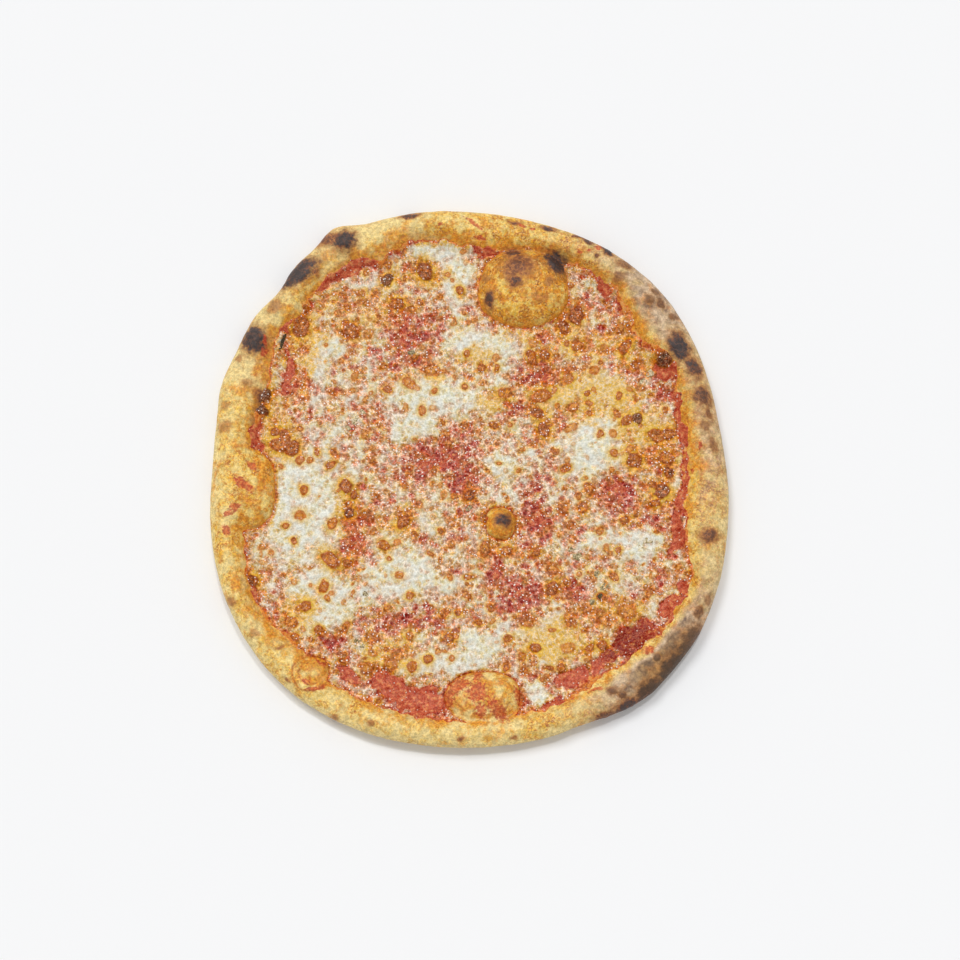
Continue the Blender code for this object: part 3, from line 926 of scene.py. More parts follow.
sauce = round_sheet("tomato_sauce", SAUCE_STEP, 6.0 * MM)
points = points_of(sauce)
points[:, 2] = sauce_top(points)
paint(sauce, "edge", oily_edge(points * (1.0, 1.0, 0.0)))
deep, _ = oval_reach(points, DEEP_SAUCE, TOPPING_HEIGHT)
paint(sauce, "deep", ramp(deep, 1.5, 0.7))
move_points(sauce, points)
close_below(sauce, 0.6 * DOUGH_THICKNESS)
sauce.data.shade_smooth()
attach(sauce, "root")
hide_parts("sauce")
count(sauce)

# %% [markdown]
# ## Cheese
# The melted cheese is a second sheet. Where it is thick it stands about 2 mm above the
# sauce, and where it is bare it dips below the sauce, so the two surfaces meet in a true
# shoreline. Each blister is a low dome with a rim. The thickness, the blisters and the oil
# round them are also stored on the points, so that colour and shape agree.

# %% Lay the cheese
CHEESE_STEP = 0.85 * MM


def cheese_cover(points):
    """The cheese's top, with its thickness, reach into blisters, their browning, and its oil."""
    reach, brown, blister_radius = blister_reach(points)
    under_blister = 0.4 * ramp(reach, 1.5, 1.0) * (brown > 0.5) - 0.2
    thickness = np.maximum(cheese_thickness(points), under_blister)
    ground = flat(points[:, 0], points[:, 1])
    lift = 1.0 * MM * ramp(thickness, -0.05, 0.25) - 0.7 * MM + 1.9 * MM * ramp(thickness, 0.1, 1.1)
    size_share = np.clip(blister_radius / (3.0 * MM), 0.3, 1.2)
    rim = np.exp(-(((reach - 0.75) / 0.3) ** 2))
    lift += size_share * (0.6 * MM * rim + 0.3 * MM * ramp(reach, 0.9, 0.2))
    lift += 0.15 * MM * humps(ground, 1.9 * MM, 55)
    moved = wandering(wandering(ground, 4.0 * MM, 14.0 * MM, 57), 1.5 * MM, 5.0 * MM, 59)
    patch, _ = oval_reach(moved, OIL_PATCHES, TOPPING_HEIGHT)
    oil = 0.8 * ramp(patch, 1.4, 0.5) + 0.25 * humps(ground, 12.0 * MM, 56)
    oil += oily_edge(ground) * (0.8 + 0.8 * humps(ground, 18.0 * MM, 58))
    return sauce_top(points) + lift, thickness, reach, brown, oil


cheese = round_sheet("melted_cheese", CHEESE_STEP, 5.0 * MM)
points = points_of(cheese)
points[:, 2], thickness, reach, brown, oil = cheese_cover(points)
paint(cheese, "thickness", thickness)
paint(cheese, "blister_reach", np.minimum(reach, LARGEST_REACH))
paint(cheese, "blister_brown", brown)
paint(cheese, "oil", oil)
move_points(cheese, points)
close_below(cheese, 0.8 * DOUGH_THICKNESS)
cheese.data.shade_smooth()
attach(cheese, "root")
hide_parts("cheese")
count(cheese)

# %% [markdown]
# ## Basil
# A few torn bits of basil went on before baking. Some dried dark on top, others sank into
# the cheese and look grey-green through its fat. Each bit is a thin leaf: a small grid
# drawn in to a pointed oval, crumpled by random humps and given a thickness. The bits are
# joined into one piece.

# %% Strew the basil
# middle x, y, half length, half width in pixels, turn in degrees, how sunk from 0 to 1
BASIL_BITS = (
    (283, 342, 10, 1.7, 66, 0.0), (675, 545, 3.5, 2.6, 30, 0.0), (679, 397, 4, 3, -20, 0.0),
    (411, 352, 4.5, 3, 40, 0.45), (577, 556, 6, 4, 20, 0.6), (572, 549, 4, 3, -40, 0.65),
    (600, 596, 3.0, 2.4, 10, 0.2), (604, 587, 5, 3, 10, 0.6), (592, 602, 3.5, 2.4, 50, 0.6),
    (648, 541, 5, 3.5, 30, 0.8), (641, 548, 4, 2.5, -20, 0.8), (650, 373, 5, 3.5, 60, 0.8),
    (643, 381, 4, 3, 0, 0.7), (355, 420, 5, 3, 50, 0.8), (362, 412, 4, 3, 10, 0.8),
    (348, 428, 4, 2.5, 0, 0.7), (357, 641, 3.2, 2.2, 0, 0.45), (362, 646, 3, 2, 40, 0.6),
    (366, 594, 4, 2, -60, 0.5), (469, 508, 3.5, 3, 0, 0.5), (633, 632, 2.5, 2, 0, 0.0),
    (597, 574, 4, 2.5, 80, 0.6), (447, 343, 4, 3, 30, 0.8),
)
LEAF_THICKNESS = 0.2 * MM
LEAF_SHARE = 0.9  # of the noted size
LEAF_BEND = 0.35  # how far it winds to either side, as a share of its half width


def basil_bit(number, px, py, half_long, half_wide, turn, sunk):
    """One torn bit of leaf, lying on the cheese."""
    middle_x, middle_y = place(px, py, TOPPING_HEIGHT)
    bpy.ops.object.select_all(action="DESELECT")
    bpy.ops.mesh.primitive_grid_add(x_subdivisions=8, y_subdivisions=4, size=2.0)
    bit = added("basil_bit")
    points = points_of(bit)
    long = points[:, 0]
    wide = points[:, 1] * np.sqrt(1.02 - long**2) + LEAF_BEND * np.sin(2.5 * long + number)
    along = LEAF_SHARE * long * half_long * PIXEL
    aside = LEAF_SHARE * wide * half_wide * PIXEL
    along, aside = turned(along, aside, turn)
    points[:, 0] = middle_x + along
    points[:, 1] = middle_y + aside
    crumpled = wandering(points, 0.6 * MM, 2.0 * MM, 70 + number)
    top = cheese_cover(crumpled)[0]
    crumpled[:, 2] = top + 0.25 * MM * (0.8 - sunk) + 0.45 * MM * humps(crumpled, 1.6 * MM, 90)
    paint(bit, "sunk", np.full(len(points), sunk))
    move_points(bit, crumpled)
    thicker = bit.modifiers.new("thickness", "SOLIDIFY")
    thicker.thickness = LEAF_THICKNESS
    thicker.offset = 0.0
    only(bit)
    bpy.ops.object.modifier_apply(modifier=thicker.name)
    return bit


bits = [basil_bit(number, *bit) for number, bit in enumerate(BASIL_BITS)]
basil = joined_as("basil_bits", bits)
basil.data.shade_smooth()
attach(basil, "root")
count(basil)

# %% [markdown]
# ## Finishes: small tools for the nodes
# The finishes are node trees. What comes out of a node is called a flow here. Adding or
# multiplying flows adds the Math nodes for it, so each finish below reads like a recipe.
# Other helpers make a soft step or mix two colours. Colours are written as they look on a
# screen, from 0 to 255, and turned into light values here.

# %% Flows
def light(red, green, blue):
    """A screen colour as linear light."""
    def linear(v):
        v = v / 255.0
        return v / 12.92 if v <= 0.04045 else ((v + 0.055) / 1.055) ** 2.4
    return (linear(red), linear(green), linear(blue), 1.0)


class Flow:
    """The numbers, colours or vectors that come out of one socket of a node."""

    def __init__(self, socket):
        self.socket = socket
        self.tree = socket.id_data

    def __add__(self, other):
        return calc("ADD", self, other)

    def __sub__(self, other):
        return calc("SUBTRACT", self, other)

    def __rsub__(self, other):
        return calc("SUBTRACT", other, self)

    def __mul__(self, other):
        return calc("MULTIPLY", self, other)


def feed(socket, value):
    """Gives a socket a plain value, or links a flow to it."""
    if isinstance(value, Flow):
        value.tree.links.new(value.socket, socket)
    else:
        socket.default_value = value


def node(tree, kind, inputs, **settings):
    """Adds a node, with its settings, and with a plain value or a flow for each input."""
    made = tree.nodes.new(kind)
    for name, value in settings.items():
        setattr(made, name, value)
    for key, value in inputs.items():
        feed(made.inputs[key], value)
    return made


# %% Steps of a recipe
def calc(operation, *values):
    """One step of arithmetic between flows and plain numbers."""
    tree = next(value.tree for value in values if isinstance(value, Flow))
    made = node(tree, "ShaderNodeMath", dict(enumerate(values)), operation=operation)
    return Flow(made.outputs[0])


def vector_calc(operation, first, second, key=1):
    """One step of arithmetic with vectors or colours. Key names the second one's socket."""
    inputs = {0: first, key: second}
    return Flow(node(first.tree, "ShaderNodeVectorMath", inputs, operation=operation).outputs[0])


def soft_step(value, low, high, to_low=0.0, to_high=1.0):
    """Runs smoothly from one number to another as a value passes from low to high."""
    inputs = {"Value": value, "From Min": low, "From Max": high, "To Min": to_low, "To Max": to_high}
    made = node(value.tree, "ShaderNodeMapRange", inputs, interpolation_type="SMOOTHSTEP")
    return Flow(made.outputs["Result"])


def swing(clouds, low, high):
    """Spreads clouds, which lie mostly between 0.3 and 0.7, from low to high."""
    return soft_step(clouds, 0.3, 0.7, low, high)


def mixed(share, first, second):
    """One colour going over into another."""
    made = node(share.tree, "ShaderNodeMix", {0: share, 6: first, 7: second}, data_type="RGBA")
    return Flow(made.outputs[2])


def shaded(colour, clouds, low, high):
    """A colour made darker or brighter by clouds, without a change of hue."""
    return vector_calc("SCALE", colour, swing(clouds, low, high), "Scale")


def tones(value, *stops):
    """A colour read from a row of tones: (position, red, green, blue)."""
    made = node(value.tree, "ShaderNodeValToRGB", {0: value})
    ramp_stops = made.color_ramp.elements
    while len(ramp_stops) < len(stops):
        ramp_stops.new(1.0)
    for stop, (position, *colour) in zip(ramp_stops, stops):
        stop.position = position
        stop.color = light(*colour)
    return Flow(made.outputs[0])


def stored(tree, name):
    """A number that was painted on the piece's points."""
    return Flow(node(tree, "ShaderNodeAttribute", {}, attribute_name=name).outputs["Fac"])


def own_place(tree):
    """Where a point lies, in metres."""
    return Flow(node(tree, "ShaderNodeTexCoord", {}).outputs["Object"])


def finish(name, roughness, gloss=0.5):
    """A new material. Returns it with its tree and its Principled shader."""
    made = bpy.data.materials.new(name)
    made.use_nodes = True
    shader = made.node_tree.nodes["Principled BSDF"]
    shader.inputs["Roughness"].default_value = roughness
    shader.inputs["Specular IOR Level"].default_value = gloss
    return made, made.node_tree, shader


def dress(piece, material):
    """Gives a piece its finish."""
    piece.data.materials.append(material)
    print(piece.name, "wears", material.name, "of", len(material.node_tree.nodes), "nodes")


def bump(shader, height, depth, strength):
    """Lets a height in the range 0 to 1 roughen the surface by a depth in metres."""
    inputs = {"Height": height, "Distance": depth, "Strength": strength}
    feed(shader.inputs["Normal"], Flow(node(height.tree, "ShaderNodeBump", inputs).outputs[0]))


# %% Patterns
def cloud(vector, per_metre, detail=2.0, roughness=0.55):
    """Soft random clouds, 0 to 1, so many to the metre."""
    inputs = {"Vector": vector, "Scale": per_metre, "Detail": detail, "Roughness": roughness}
    return Flow(node(vector.tree, "ShaderNodeTexNoise", inputs).outputs[0])


def shaken(vector, per_metre, reach):
    """A vector pushed about by clouds, so that cells lose their straight borders."""
    inputs = {"Vector": vector, "Scale": per_metre, "Detail": 1.0}
    clouds = Flow(node(vector.tree, "ShaderNodeTexNoise", inputs).outputs["Color"])
    push = vector_calc("SUBTRACT", clouds, (0.5, 0.5, 0.5))
    return vector_calc("ADD", vector, vector_calc("SCALE", push, reach, "Scale"))


def squiggles(vector, per_metre, width):
    """Thin winding lines: where clouds pass their middle value."""
    away = calc("ABSOLUTE", cloud(vector, per_metre, 2.0, 0.6) - 0.5)
    return soft_step(away, width, 0.3 * width)


def foam(vector, per_metre):
    """Cells like a froth's, on level ground: distance from a cell's middle, and its thin walls."""
    def distance(feature):
        inputs = {"Vector": vector, "Scale": per_metre}
        made = node(vector.tree, "ShaderNodeTexVoronoi", inputs, voronoi_dimensions="2D",
                    feature=feature)
        return Flow(made.outputs["Distance"])
    return distance("F1"), soft_step(distance("DISTANCE_TO_EDGE"), 0.16, 0.03)


# %% Shared effect: specks
def build_specks(dimensions):
    """A group that strews round specks: a share of random cells each holds one."""
    group = bpy.data.node_groups.new("specks_" + dimensions, "ShaderNodeTree")
    group.interface.new_socket("Vector", in_out="INPUT", socket_type="NodeSocketVector")
    for name, value in (("Per Metre", 300.0), ("Share", 0.5), ("Size", 0.35)):
        socket = group.interface.new_socket(name, in_out="INPUT", socket_type="NodeSocketFloat")
        socket.default_value = value
    for name in ("Mask", "Ring"):
        group.interface.new_socket(name, in_out="OUTPUT", socket_type="NodeSocketFloat")
    start = group.nodes.new("NodeGroupInput").outputs
    vector, per_metre, share, size = (Flow(start[i]) for i in range(4))
    cells = node(group, "ShaderNodeTexVoronoi", {"Vector": vector, "Scale": per_metre},
                 voronoi_dimensions=dimensions)
    random = {0: Flow(cells.outputs["Color"])}
    chance = Flow(node(group, "ShaderNodeSeparateColor", random).outputs[0])
    away = calc("DIVIDE", Flow(cells.outputs["Distance"]), size * (chance + 0.55))
    spot = calc("LESS_THAN", chance, share) * soft_step(away, 1.1, 0.75)
    end = group.nodes.new("NodeGroupOutput").inputs
    feed(end["Mask"], spot)
    feed(end["Ring"], spot * (1.0 - soft_step(away, 0.75, 0.35)))
    return group


SPECKS = build_specks("3D")
LEVEL_SPECKS = build_specks("2D")


def specks(vector, per_metre, share, size, group=SPECKS):
    """Strews specks in a finish. Returns masks of the whole specks and of their rings."""
    inputs = {"Vector": vector, "Per Metre": per_metre, "Share": share, "Size": size}
    made = node(vector.tree, "ShaderNodeGroup", inputs, node_tree=group)
    return Flow(made.outputs["Mask"]), Flow(made.outputs["Ring"])


# %% [markdown]
# ## Finish of the cheese
# Thin cheese over sauce is pinkish, thick cheese is cream. So one number, the thickness,
# is broken up by curds and cells and then read as a colour. Pits, blisters and the orange
# oil round them are laid over that, and last come painted highlights, small white glints.
# The same number also makes the fine relief, so each spot that looks deep is deep.

# %% Cheese colour
def cheese_base(tree, value, curds, broad):
    """Cream pools and red lace, with orange oil in patches. Returns the colour and the oil."""
    yellower = tones(
        value, (0.0, 164, 20, 0), (0.14, 188, 52, 4), (0.28, 214, 102, 20), (0.42, 230, 148, 48),
        (0.58, 232, 186, 100), (0.74, 236, 212, 144), (0.88, 238, 231, 188), (1.0, 237, 239, 218),
    )
    pinker = tones(
        value, (0.0, 160, 16, 0), (0.14, 184, 42, 14), (0.28, 208, 88, 50), (0.42, 225, 138, 94),
        (0.58, 232, 180, 144), (0.74, 233, 210, 182), (0.88, 238, 231, 210), (1.0, 238, 240, 230),
    )
    colour = mixed(soft_step(broad, 0.4, 0.6), yellower, pinker)
    oil = soft_step(stored(tree, "oil") + swing(curds, -0.35, 0.25), -0.05, 0.65, 0.0, 0.92)
    oil_colour = tones(value, (0.0, 196, 62, 0), (0.35, 230, 126, 0), (0.75, 244, 190, 50))
    return mixed(oil, colour, oil_colour), oil


def cheese_blisters(tree, colour, value, curds, crumbs, threads):
    """Lays browned blisters with oily halos over the cheese, and pale threads on their cores that are
    partly painted glints. Returns the colour and the rings.
    """
    reach = stored(tree, "blister_reach") + swing(curds, -0.14, 0.14)
    brown = stored(tree, "blister_brown")
    halo = soft_step(reach, 2.8, 1.0) * soft_step(brown, 0.15, 0.6, 0.15, 0.95)
    halo_colour = tones(value, (0.1, 216, 112, 0), (0.45, 234, 154, 10), (0.9, 240, 192, 60))
    colour = mixed(halo, colour, halo_colour)
    mottle = soft_step(crumbs, 0.35, 0.65, -0.12, 0.12)
    core_colour = tones(
        brown - mottle, (0.1, 232, 164, 62), (0.35, 226, 144, 42), (0.65, 190, 94, 18),
        (0.85, 128, 56, 22), (1.0, 82, 42, 34),
    )
    ring_colour = tones(
        brown + mottle, (0.1, 214, 128, 0), (0.35, 196, 94, 0), (0.65, 166, 66, 0),
        (0.85, 136, 54, 0), (1.0, 110, 50, 0),
    )
    redder = soft_step(value, 0.6, 0.2) * soft_step(brown, 0.6, 0.3) * 0.7
    core_colour = mixed(redder, core_colour, light(172, 62, 30))
    ring_colour = mixed(redder, ring_colour, light(150, 44, 8))
    inside = soft_step(reach, 1.35, 0.75) * soft_step(brown, 0.05, 0.4, 0.3, 0.95)
    ring = soft_step(reach, 1.35, 0.95) * soft_step(reach, 0.5, 0.9)
    colour = mixed(inside, colour, core_colour)
    colour = mixed(ring * soft_step(brown, 0.1, 0.6, 0.35, 0.85), colour, ring_colour)
    # Pale threads over the blister cores: partly cheese strands, partly painted glints on their wet
    # tops.
    return mixed(inside * threads * 0.35, colour, light(236, 186, 146)), ring


# %% Cheese finish
def cheese_finish():
    """Melted cheese: cream pools, red lace, pits, browned blisters, oil and painted glints."""
    material, tree, shader = finish("melted_cheese", 0.3, 0.16)
    level = vector_calc("MULTIPLY", own_place(tree), (1.0, 1.0, 0.0))
    ground = shaken(level, 380.0, 1.5 * MM)
    curds = cloud(ground, 190.0, 2.0, 0.5)
    crumbs = cloud(ground, 480.0, 1.0, 0.5)
    fine = cloud(ground, 950.0, 1.0, 0.5)
    broad = cloud(level, 90.0, 2.0, 0.5)
    large_cells, large_walls = foam(ground, 210.0)
    small_cells, small_walls = foam(ground, 360.0)
    value = stored(tree, "thickness") + swing(curds, -0.16, 0.16)
    value = value + soft_step(large_cells, 0.1, 0.65, -0.12, 0.08)
    colour, oil = cheese_base(tree, value, curds, broad)

    pits, pit_rings = specks(ground, 230.0, 0.3, 0.3, LEVEL_SPECKS)
    pit_colour = tones(value, (0.1, 150, 40, 8), (0.45, 196, 96, 16), (0.8, 214, 142, 44))
    colour = mixed(pits * 0.35, colour, pit_colour)
    colour = mixed(pit_rings * 0.4, colour, pit_colour)
    threads = squiggles(ground, 520.0, 0.06)
    walls = calc("MAXIMUM", large_walls, small_walls * 0.85)
    veins = calc("MAXIMUM", walls * soft_step(crumbs, 0.35, 0.55), threads * 0.6)
    vein_colour = tones(
        value, (0.0, 232, 164, 146), (0.3, 242, 212, 194), (0.6, 246, 234, 220), (0.9, 246, 246, 238),
    )
    vein_share = soft_step(value, 0.0, 0.5, 0.35, 0.7) * soft_step(oil, 0.2, 0.9, 1.0, 0.66)
    colour = mixed(veins * vein_share, colour, vein_colour)
    colour, ring = cheese_blisters(tree, colour, value, curds, crumbs, threads)

    froth = (small_cells + crumbs) * 0.5
    rough = shaded(shaded(colour, froth, 0.64, 1.15), fine, 0.62, 1.22)
    smooth = shaded(shaded(colour, froth, 0.84, 1.03), fine, 0.8, 1.05)
    colour = mixed(soft_step(value, 0.45, 0.9), rough, smooth)
    # Painted highlights: near-white glints strewn over the colour, most where the cheese is thin.
    painted_glint_share = soft_step(value, 0.9, 0.3, 0.3, 0.95)
    for per_metre, share in ((560.0, 0.23), (380.0, 0.16)):
        painted_glints, _ = specks(ground, per_metre, share, 0.28, LEVEL_SPECKS)
        colour = mixed(painted_glints * painted_glint_share, colour, light(254, 246, 238))
    feed(shader.inputs["Base Color"], colour)
    feed(shader.inputs["Roughness"], soft_step(crumbs, 0.35, 0.65, 0.14, 0.28))
    height = value * 0.7 + ring * 0.2 + veins * 0.25 + fine * 0.3 - pits * 0.2
    bump(shader, height, 0.6 * MM, 0.8)
    return material


dress(cheese, cheese_finish())

# %% [markdown]
# ## Finish of the sauce
# Cooked tomato is a red that leans to brown, darker in its dips, with paler flecks of
# pulp, pale drops of fat that are partly painted glints, and orange oil where it meets
# the dough.

# %% Sauce finish
def sauce_finish():
    """Moist cooked tomato sauce with pulp, and drops of fat that are partly painted glints."""
    material, tree, shader = finish("tomato_sauce", 0.24, 0.15)
    ground = shaken(own_place(tree), 500.0, 1.0 * MM)
    lumps = cloud(ground, 300.0, 3.0, 0.6)
    fine = cloud(ground, 1000.0, 2.0, 0.6)
    pulp, _ = specks(ground, 480.0, 0.6, 0.34)
    fat_and_glints, _ = specks(ground, 420.0, 0.2, 0.26, LEVEL_SPECKS)
    value = lumps + pulp * 0.1
    colour = tones(
        value, (0.25, 140, 28, 10), (0.4, 170, 58, 32), (0.55, 198, 94, 64), (0.72, 222, 134, 102),
        (0.9, 240, 180, 150),
    )
    deeper = tones(
        value, (0.25, 100, 6, 0), (0.4, 124, 16, 0), (0.55, 142, 32, 4), (0.72, 164, 60, 26),
        (0.9, 206, 112, 80),
    )
    colour = mixed(stored(tree, "deep"), colour, deeper)
    edge = stored(tree, "edge") + soft_step(lumps, 0.35, 0.65, -0.4, 0.4)
    oily = tones(lumps, (0.35, 196, 92, 24), (0.5, 220, 134, 44), (0.65, 232, 172, 92))
    colour = mixed(soft_step(edge, 0.1, 0.8, 0.0, 0.9), colour, oily)
    colour = mixed(squiggles(ground, 420.0, 0.05) * 0.3, colour, light(224, 144, 106))
    colour = shaded(colour, fine, 0.76, 1.2)
    # Pale specks: drops of fat, and painted glints on the wet sauce.
    colour = mixed(fat_and_glints * 0.7, colour, light(250, 226, 212))
    feed(shader.inputs["Base Color"], colour)
    bump(shader, value + fat_and_glints * 0.3 + fine * 0.3, 0.9 * MM, 0.9)
    return material


dress(sauce, sauce_finish())

# %% [markdown]
# ## Finish of the dough
# Baked dough is cream where it is thick with flour, golden where it dried and brown on
# its highest skin, with a leopard's specks. Red sauce and orange oil crept up the rim's
# inner side. All of that varies round the rim, so it is painted on the points first.
# Some painted light is there too: shade on the rim's near right side, and a paler tone on
# its far left that partly offsets the lamp's shade on the inner slope.

# %% Tones round the rim
# angle, half width in degrees, change of toast, of dust and of oil. Dust over 1, at
# 315 degrees, is soot and painted shade on the rim's near right side.
RIM_TONES = (
    (8.0, 16.0, 0.0, 0.75, 0.5), (44.0, 17.0, -0.05, 1.2, 0.5), (88.0, 26.0, 0.04, 0.0, 0.3),
    # Less toast round 116 and 150 degrees is partly paler dough and partly painted light that offsets
    # the soft lamp's shade on the far left inner slope.
    (116.0, 19.0, -0.42, 0.0, 0.6), (150.0, 12.0, -0.36, 0.08, 0.65), (180.0, 14.0, -0.2, 0.0, 0.5),
    (215.0, 18.0, -0.2, 0.0, 0.6), (265.0, 30.0, -0.2, 0.05, 0.3), (315.0, 15.0, -0.05, 2.0, 0.0),
    (338.0, 12.0, -0.12, 0.3, 0.0),
)
BUBBLE_TONES = (0.05, 0.4, 0.1, -0.05, 0.1)
BUBBLE_OIL = (0.9, 1.6, 1.6, 1.2, 0.9)
# brown folds in the skin of each bubble, as shares of its half size, and how far south they reach
FOLD_RINGS = ((1.0,), (1.0,), (1.0, 0.62), (1.0,), ())
FOLD_SOUTH = (-2.0, -2.0, -2.0, -0.1, 0.0)
FOLD_HALF_WIDTH = 2.0 * MM
PALE_ANGLE = -80.0  # the side of the rim that toasted least


# %% Paint the dough
def rim_tones(points, angle, across):
    """How toasted, dusty and oily the rim is. Toast is partly painted light on the far left, and dust
    over 1 is soot and painted shade on the near right.
    """
    middles, half_widths, *changes = zip(*RIM_TONES)
    toast, dust_and_shade, oil = (bump_sum(angle, zip(middles, half_widths, change)) for change in changes)
    dust_and_shade = dust_and_shade * ramp(across + 0.12 * humps(points, 9.0 * MM, 64), 0.05, 0.4)
    uneven = across + 0.15 * humps(points, 10.0 * MM, 66)
    oil = oil * ramp(uneven, 0.65, 0.15) + 0.4 * ramp(across, 0.25, -0.1)
    oil += 0.45 * humps(points, 9.0 * MM, 63)
    toast += 0.32 + 0.16 * humps(points, 16.0 * MM, 61) + 0.12 * humps(points, 6.0 * MM, 62)
    off_pale = np.abs((angle - PALE_ANGLE + 180.0) % 360.0 - 180.0)
    toast += 0.1 * ramp(across, 0.7, 0.1) * ramp(off_pale, 30.0, 60.0)
    toast -= 0.15 * ramp(across, 0.75, 1.0) + 0.1 * ramp(points[:, 2], 7.0 * MM, 2.0 * MM)
    return toast, dust_and_shade, oil


def bubble_tones(points):
    """What the dough bubbles add to toast and oil, and how far each point is from a fold."""
    toast = np.zeros(len(points))
    oil = np.zeros(len(points))
    fold = np.full(len(points), LARGEST_REACH)
    for number, bubble in enumerate(DOUGH_BUBBLES):
        reach = bubble_reach(points[:, 0], points[:, 1], bubble)
        on_bubble = ramp(reach, 1.1, 0.7)
        north = (points[:, 1] - bubble.y + BOX_MIDDLE[1]) / bubble.half_y
        far = ramp(north, FOLD_SOUTH[number] + 0.15, FOLD_SOUTH[number] - 0.15)
        toast += (BUBBLE_TONES[number] + 0.14 * north) * on_bubble
        oil += (BUBBLE_OIL[number] + 0.7 * humps(points, 4.0 * MM, 68)) * on_bubble
        oil += 0.4 * (1.0 - far) * ramp(np.abs(reach - 1.0), 0.09, 0.0)
        oil -= 1.2 * ramp(reach, 0.97, 0.85)
        for ring in FOLD_RINGS[number]:
            away = (reach - ring) * bubble.half_x / FOLD_HALF_WIDTH + LARGEST_REACH * far
            fold = np.where(np.abs(away) < np.abs(fold), away, fold)
    return toast, oil, fold


def paint_dough(piece):
    """Stores toast (partly painted light), dust and painted shade, oil, smears, scorch and painted
    shadow marks, and folds on the points of a dough piece.
    """
    points = points_of(piece)
    angle, radius = polar(points[:, 0], points[:, 1])
    inner = inner_radius(angle)
    toast, dust_and_shade, oil = rim_tones(points, angle, (radius - inner) / (outer_radius(angle) - inner))
    bubble_toast, bubble_oil, fold = bubble_tones(points)
    reach, burnt_and_shaded = scorch_and_shadow(points)
    smear, _ = oval_reach(wandering(points, 1.2 * MM, 4.0 * MM, 65), SAUCE_SMEARS, SMEAR_HEIGHT)
    paint(piece, "toast", toast + bubble_toast)
    paint(piece, "dust_and_shade", dust_and_shade)
    paint(piece, "oil", oil + bubble_oil)
    paint(piece, "smear_reach", np.minimum(smear, LARGEST_REACH))
    paint(piece, "scorch_and_shadow_reach", np.minimum(reach, LARGEST_REACH))
    paint(piece, "scorch_and_shadow_burnt", burnt_and_shaded)
    paint(piece, "fold", fold)
    paint(piece, "under", ramp(points[:, 2], 3.0 * MM, 0.5 * MM))


# %% Baked skin
def baked_skin(toast, place_on, spot, broad):
    """Cream to brown skin with flecks, streaks and dots. Returns it and the mask of flecks."""
    skin = tones(
        toast, (0.0, 242, 216, 146), (0.25, 242, 202, 100), (0.45, 239, 184, 54),
        (0.62, 230, 156, 16), (0.8, 204, 116, 6), (1.0, 152, 74, 6),
    )
    fleck = tones(
        toast + 0.3, (0.2, 226, 164, 84), (0.5, 208, 120, 40), (0.8, 172, 80, 24), (1.0, 112, 50, 20),
    )
    flecks, _ = specks(spot, 230.0, 0.5, 0.3)
    skin = mixed(flecks * soft_step(toast, 0.05, 0.6, 0.1, 0.85), skin, fleck)
    streaks = squiggles(spot, 130.0, 0.05) * soft_step(toast, 0.1, 0.6, 0.0, 0.6)
    skin = mixed(streaks, skin, light(216, 124, 26))
    skin = mixed(squiggles(spot, 300.0, 0.06) * 0.55, skin, light(248, 220, 140))
    dashes = squiggles(place_on, 250.0, 0.045) * soft_step(broad, 0.4, 0.55)
    skin = mixed(dashes * soft_step(toast, 0.0, 0.5, 0.3, 0.85), skin, fleck)
    dots, _ = specks(place_on, 330.0, 0.22, 0.3)
    return mixed(dots * 0.6, skin, fleck), flecks


# %% Flour, soot and oil
def floured(tree, skin, place_on, broad):
    """Dusts the skin with flour, and where the dust is thickest with soot and painted shade. Returns
    both masks.
    """
    flour = stored(tree, "dust_and_shade") * soft_step(broad, 0.2, 0.6, 0.55, 1.0)
    smudge = cloud(place_on, 160.0, 4.0, 0.7)
    flour_colour = tones(smudge, (0.32, 126, 100, 82), (0.45, 184, 152, 120), (0.6, 220, 192, 158))
    soot_and_shade_colour = tones(smudge, (0.32, 70, 46, 22), (0.5, 114, 78, 36), (0.65, 162, 120, 58))
    # Painted shade: where the dust goes over 1, on the rim's near right side, the flour colour turns
    # to soot and shade.
    soot_and_shade = soft_step(stored(tree, "dust_and_shade"), 1.2, 1.9, 0.0, 0.8)
    return mixed(flour, skin, mixed(soot_and_shade, flour_colour, soot_and_shade_colour)), flour


def oiled(tree, skin, fine, broad):
    """Stains the skin with orange oil."""
    stain = stored(tree, "oil") + swing(broad, -0.4, 0.3)
    stain_colour = tones(fine, (0.35, 208, 104, 8), (0.5, 230, 146, 20), (0.65, 240, 182, 66))
    return mixed(soft_step(stain, 0.0, 1.0, 0.0, 0.85), skin, stain_colour)


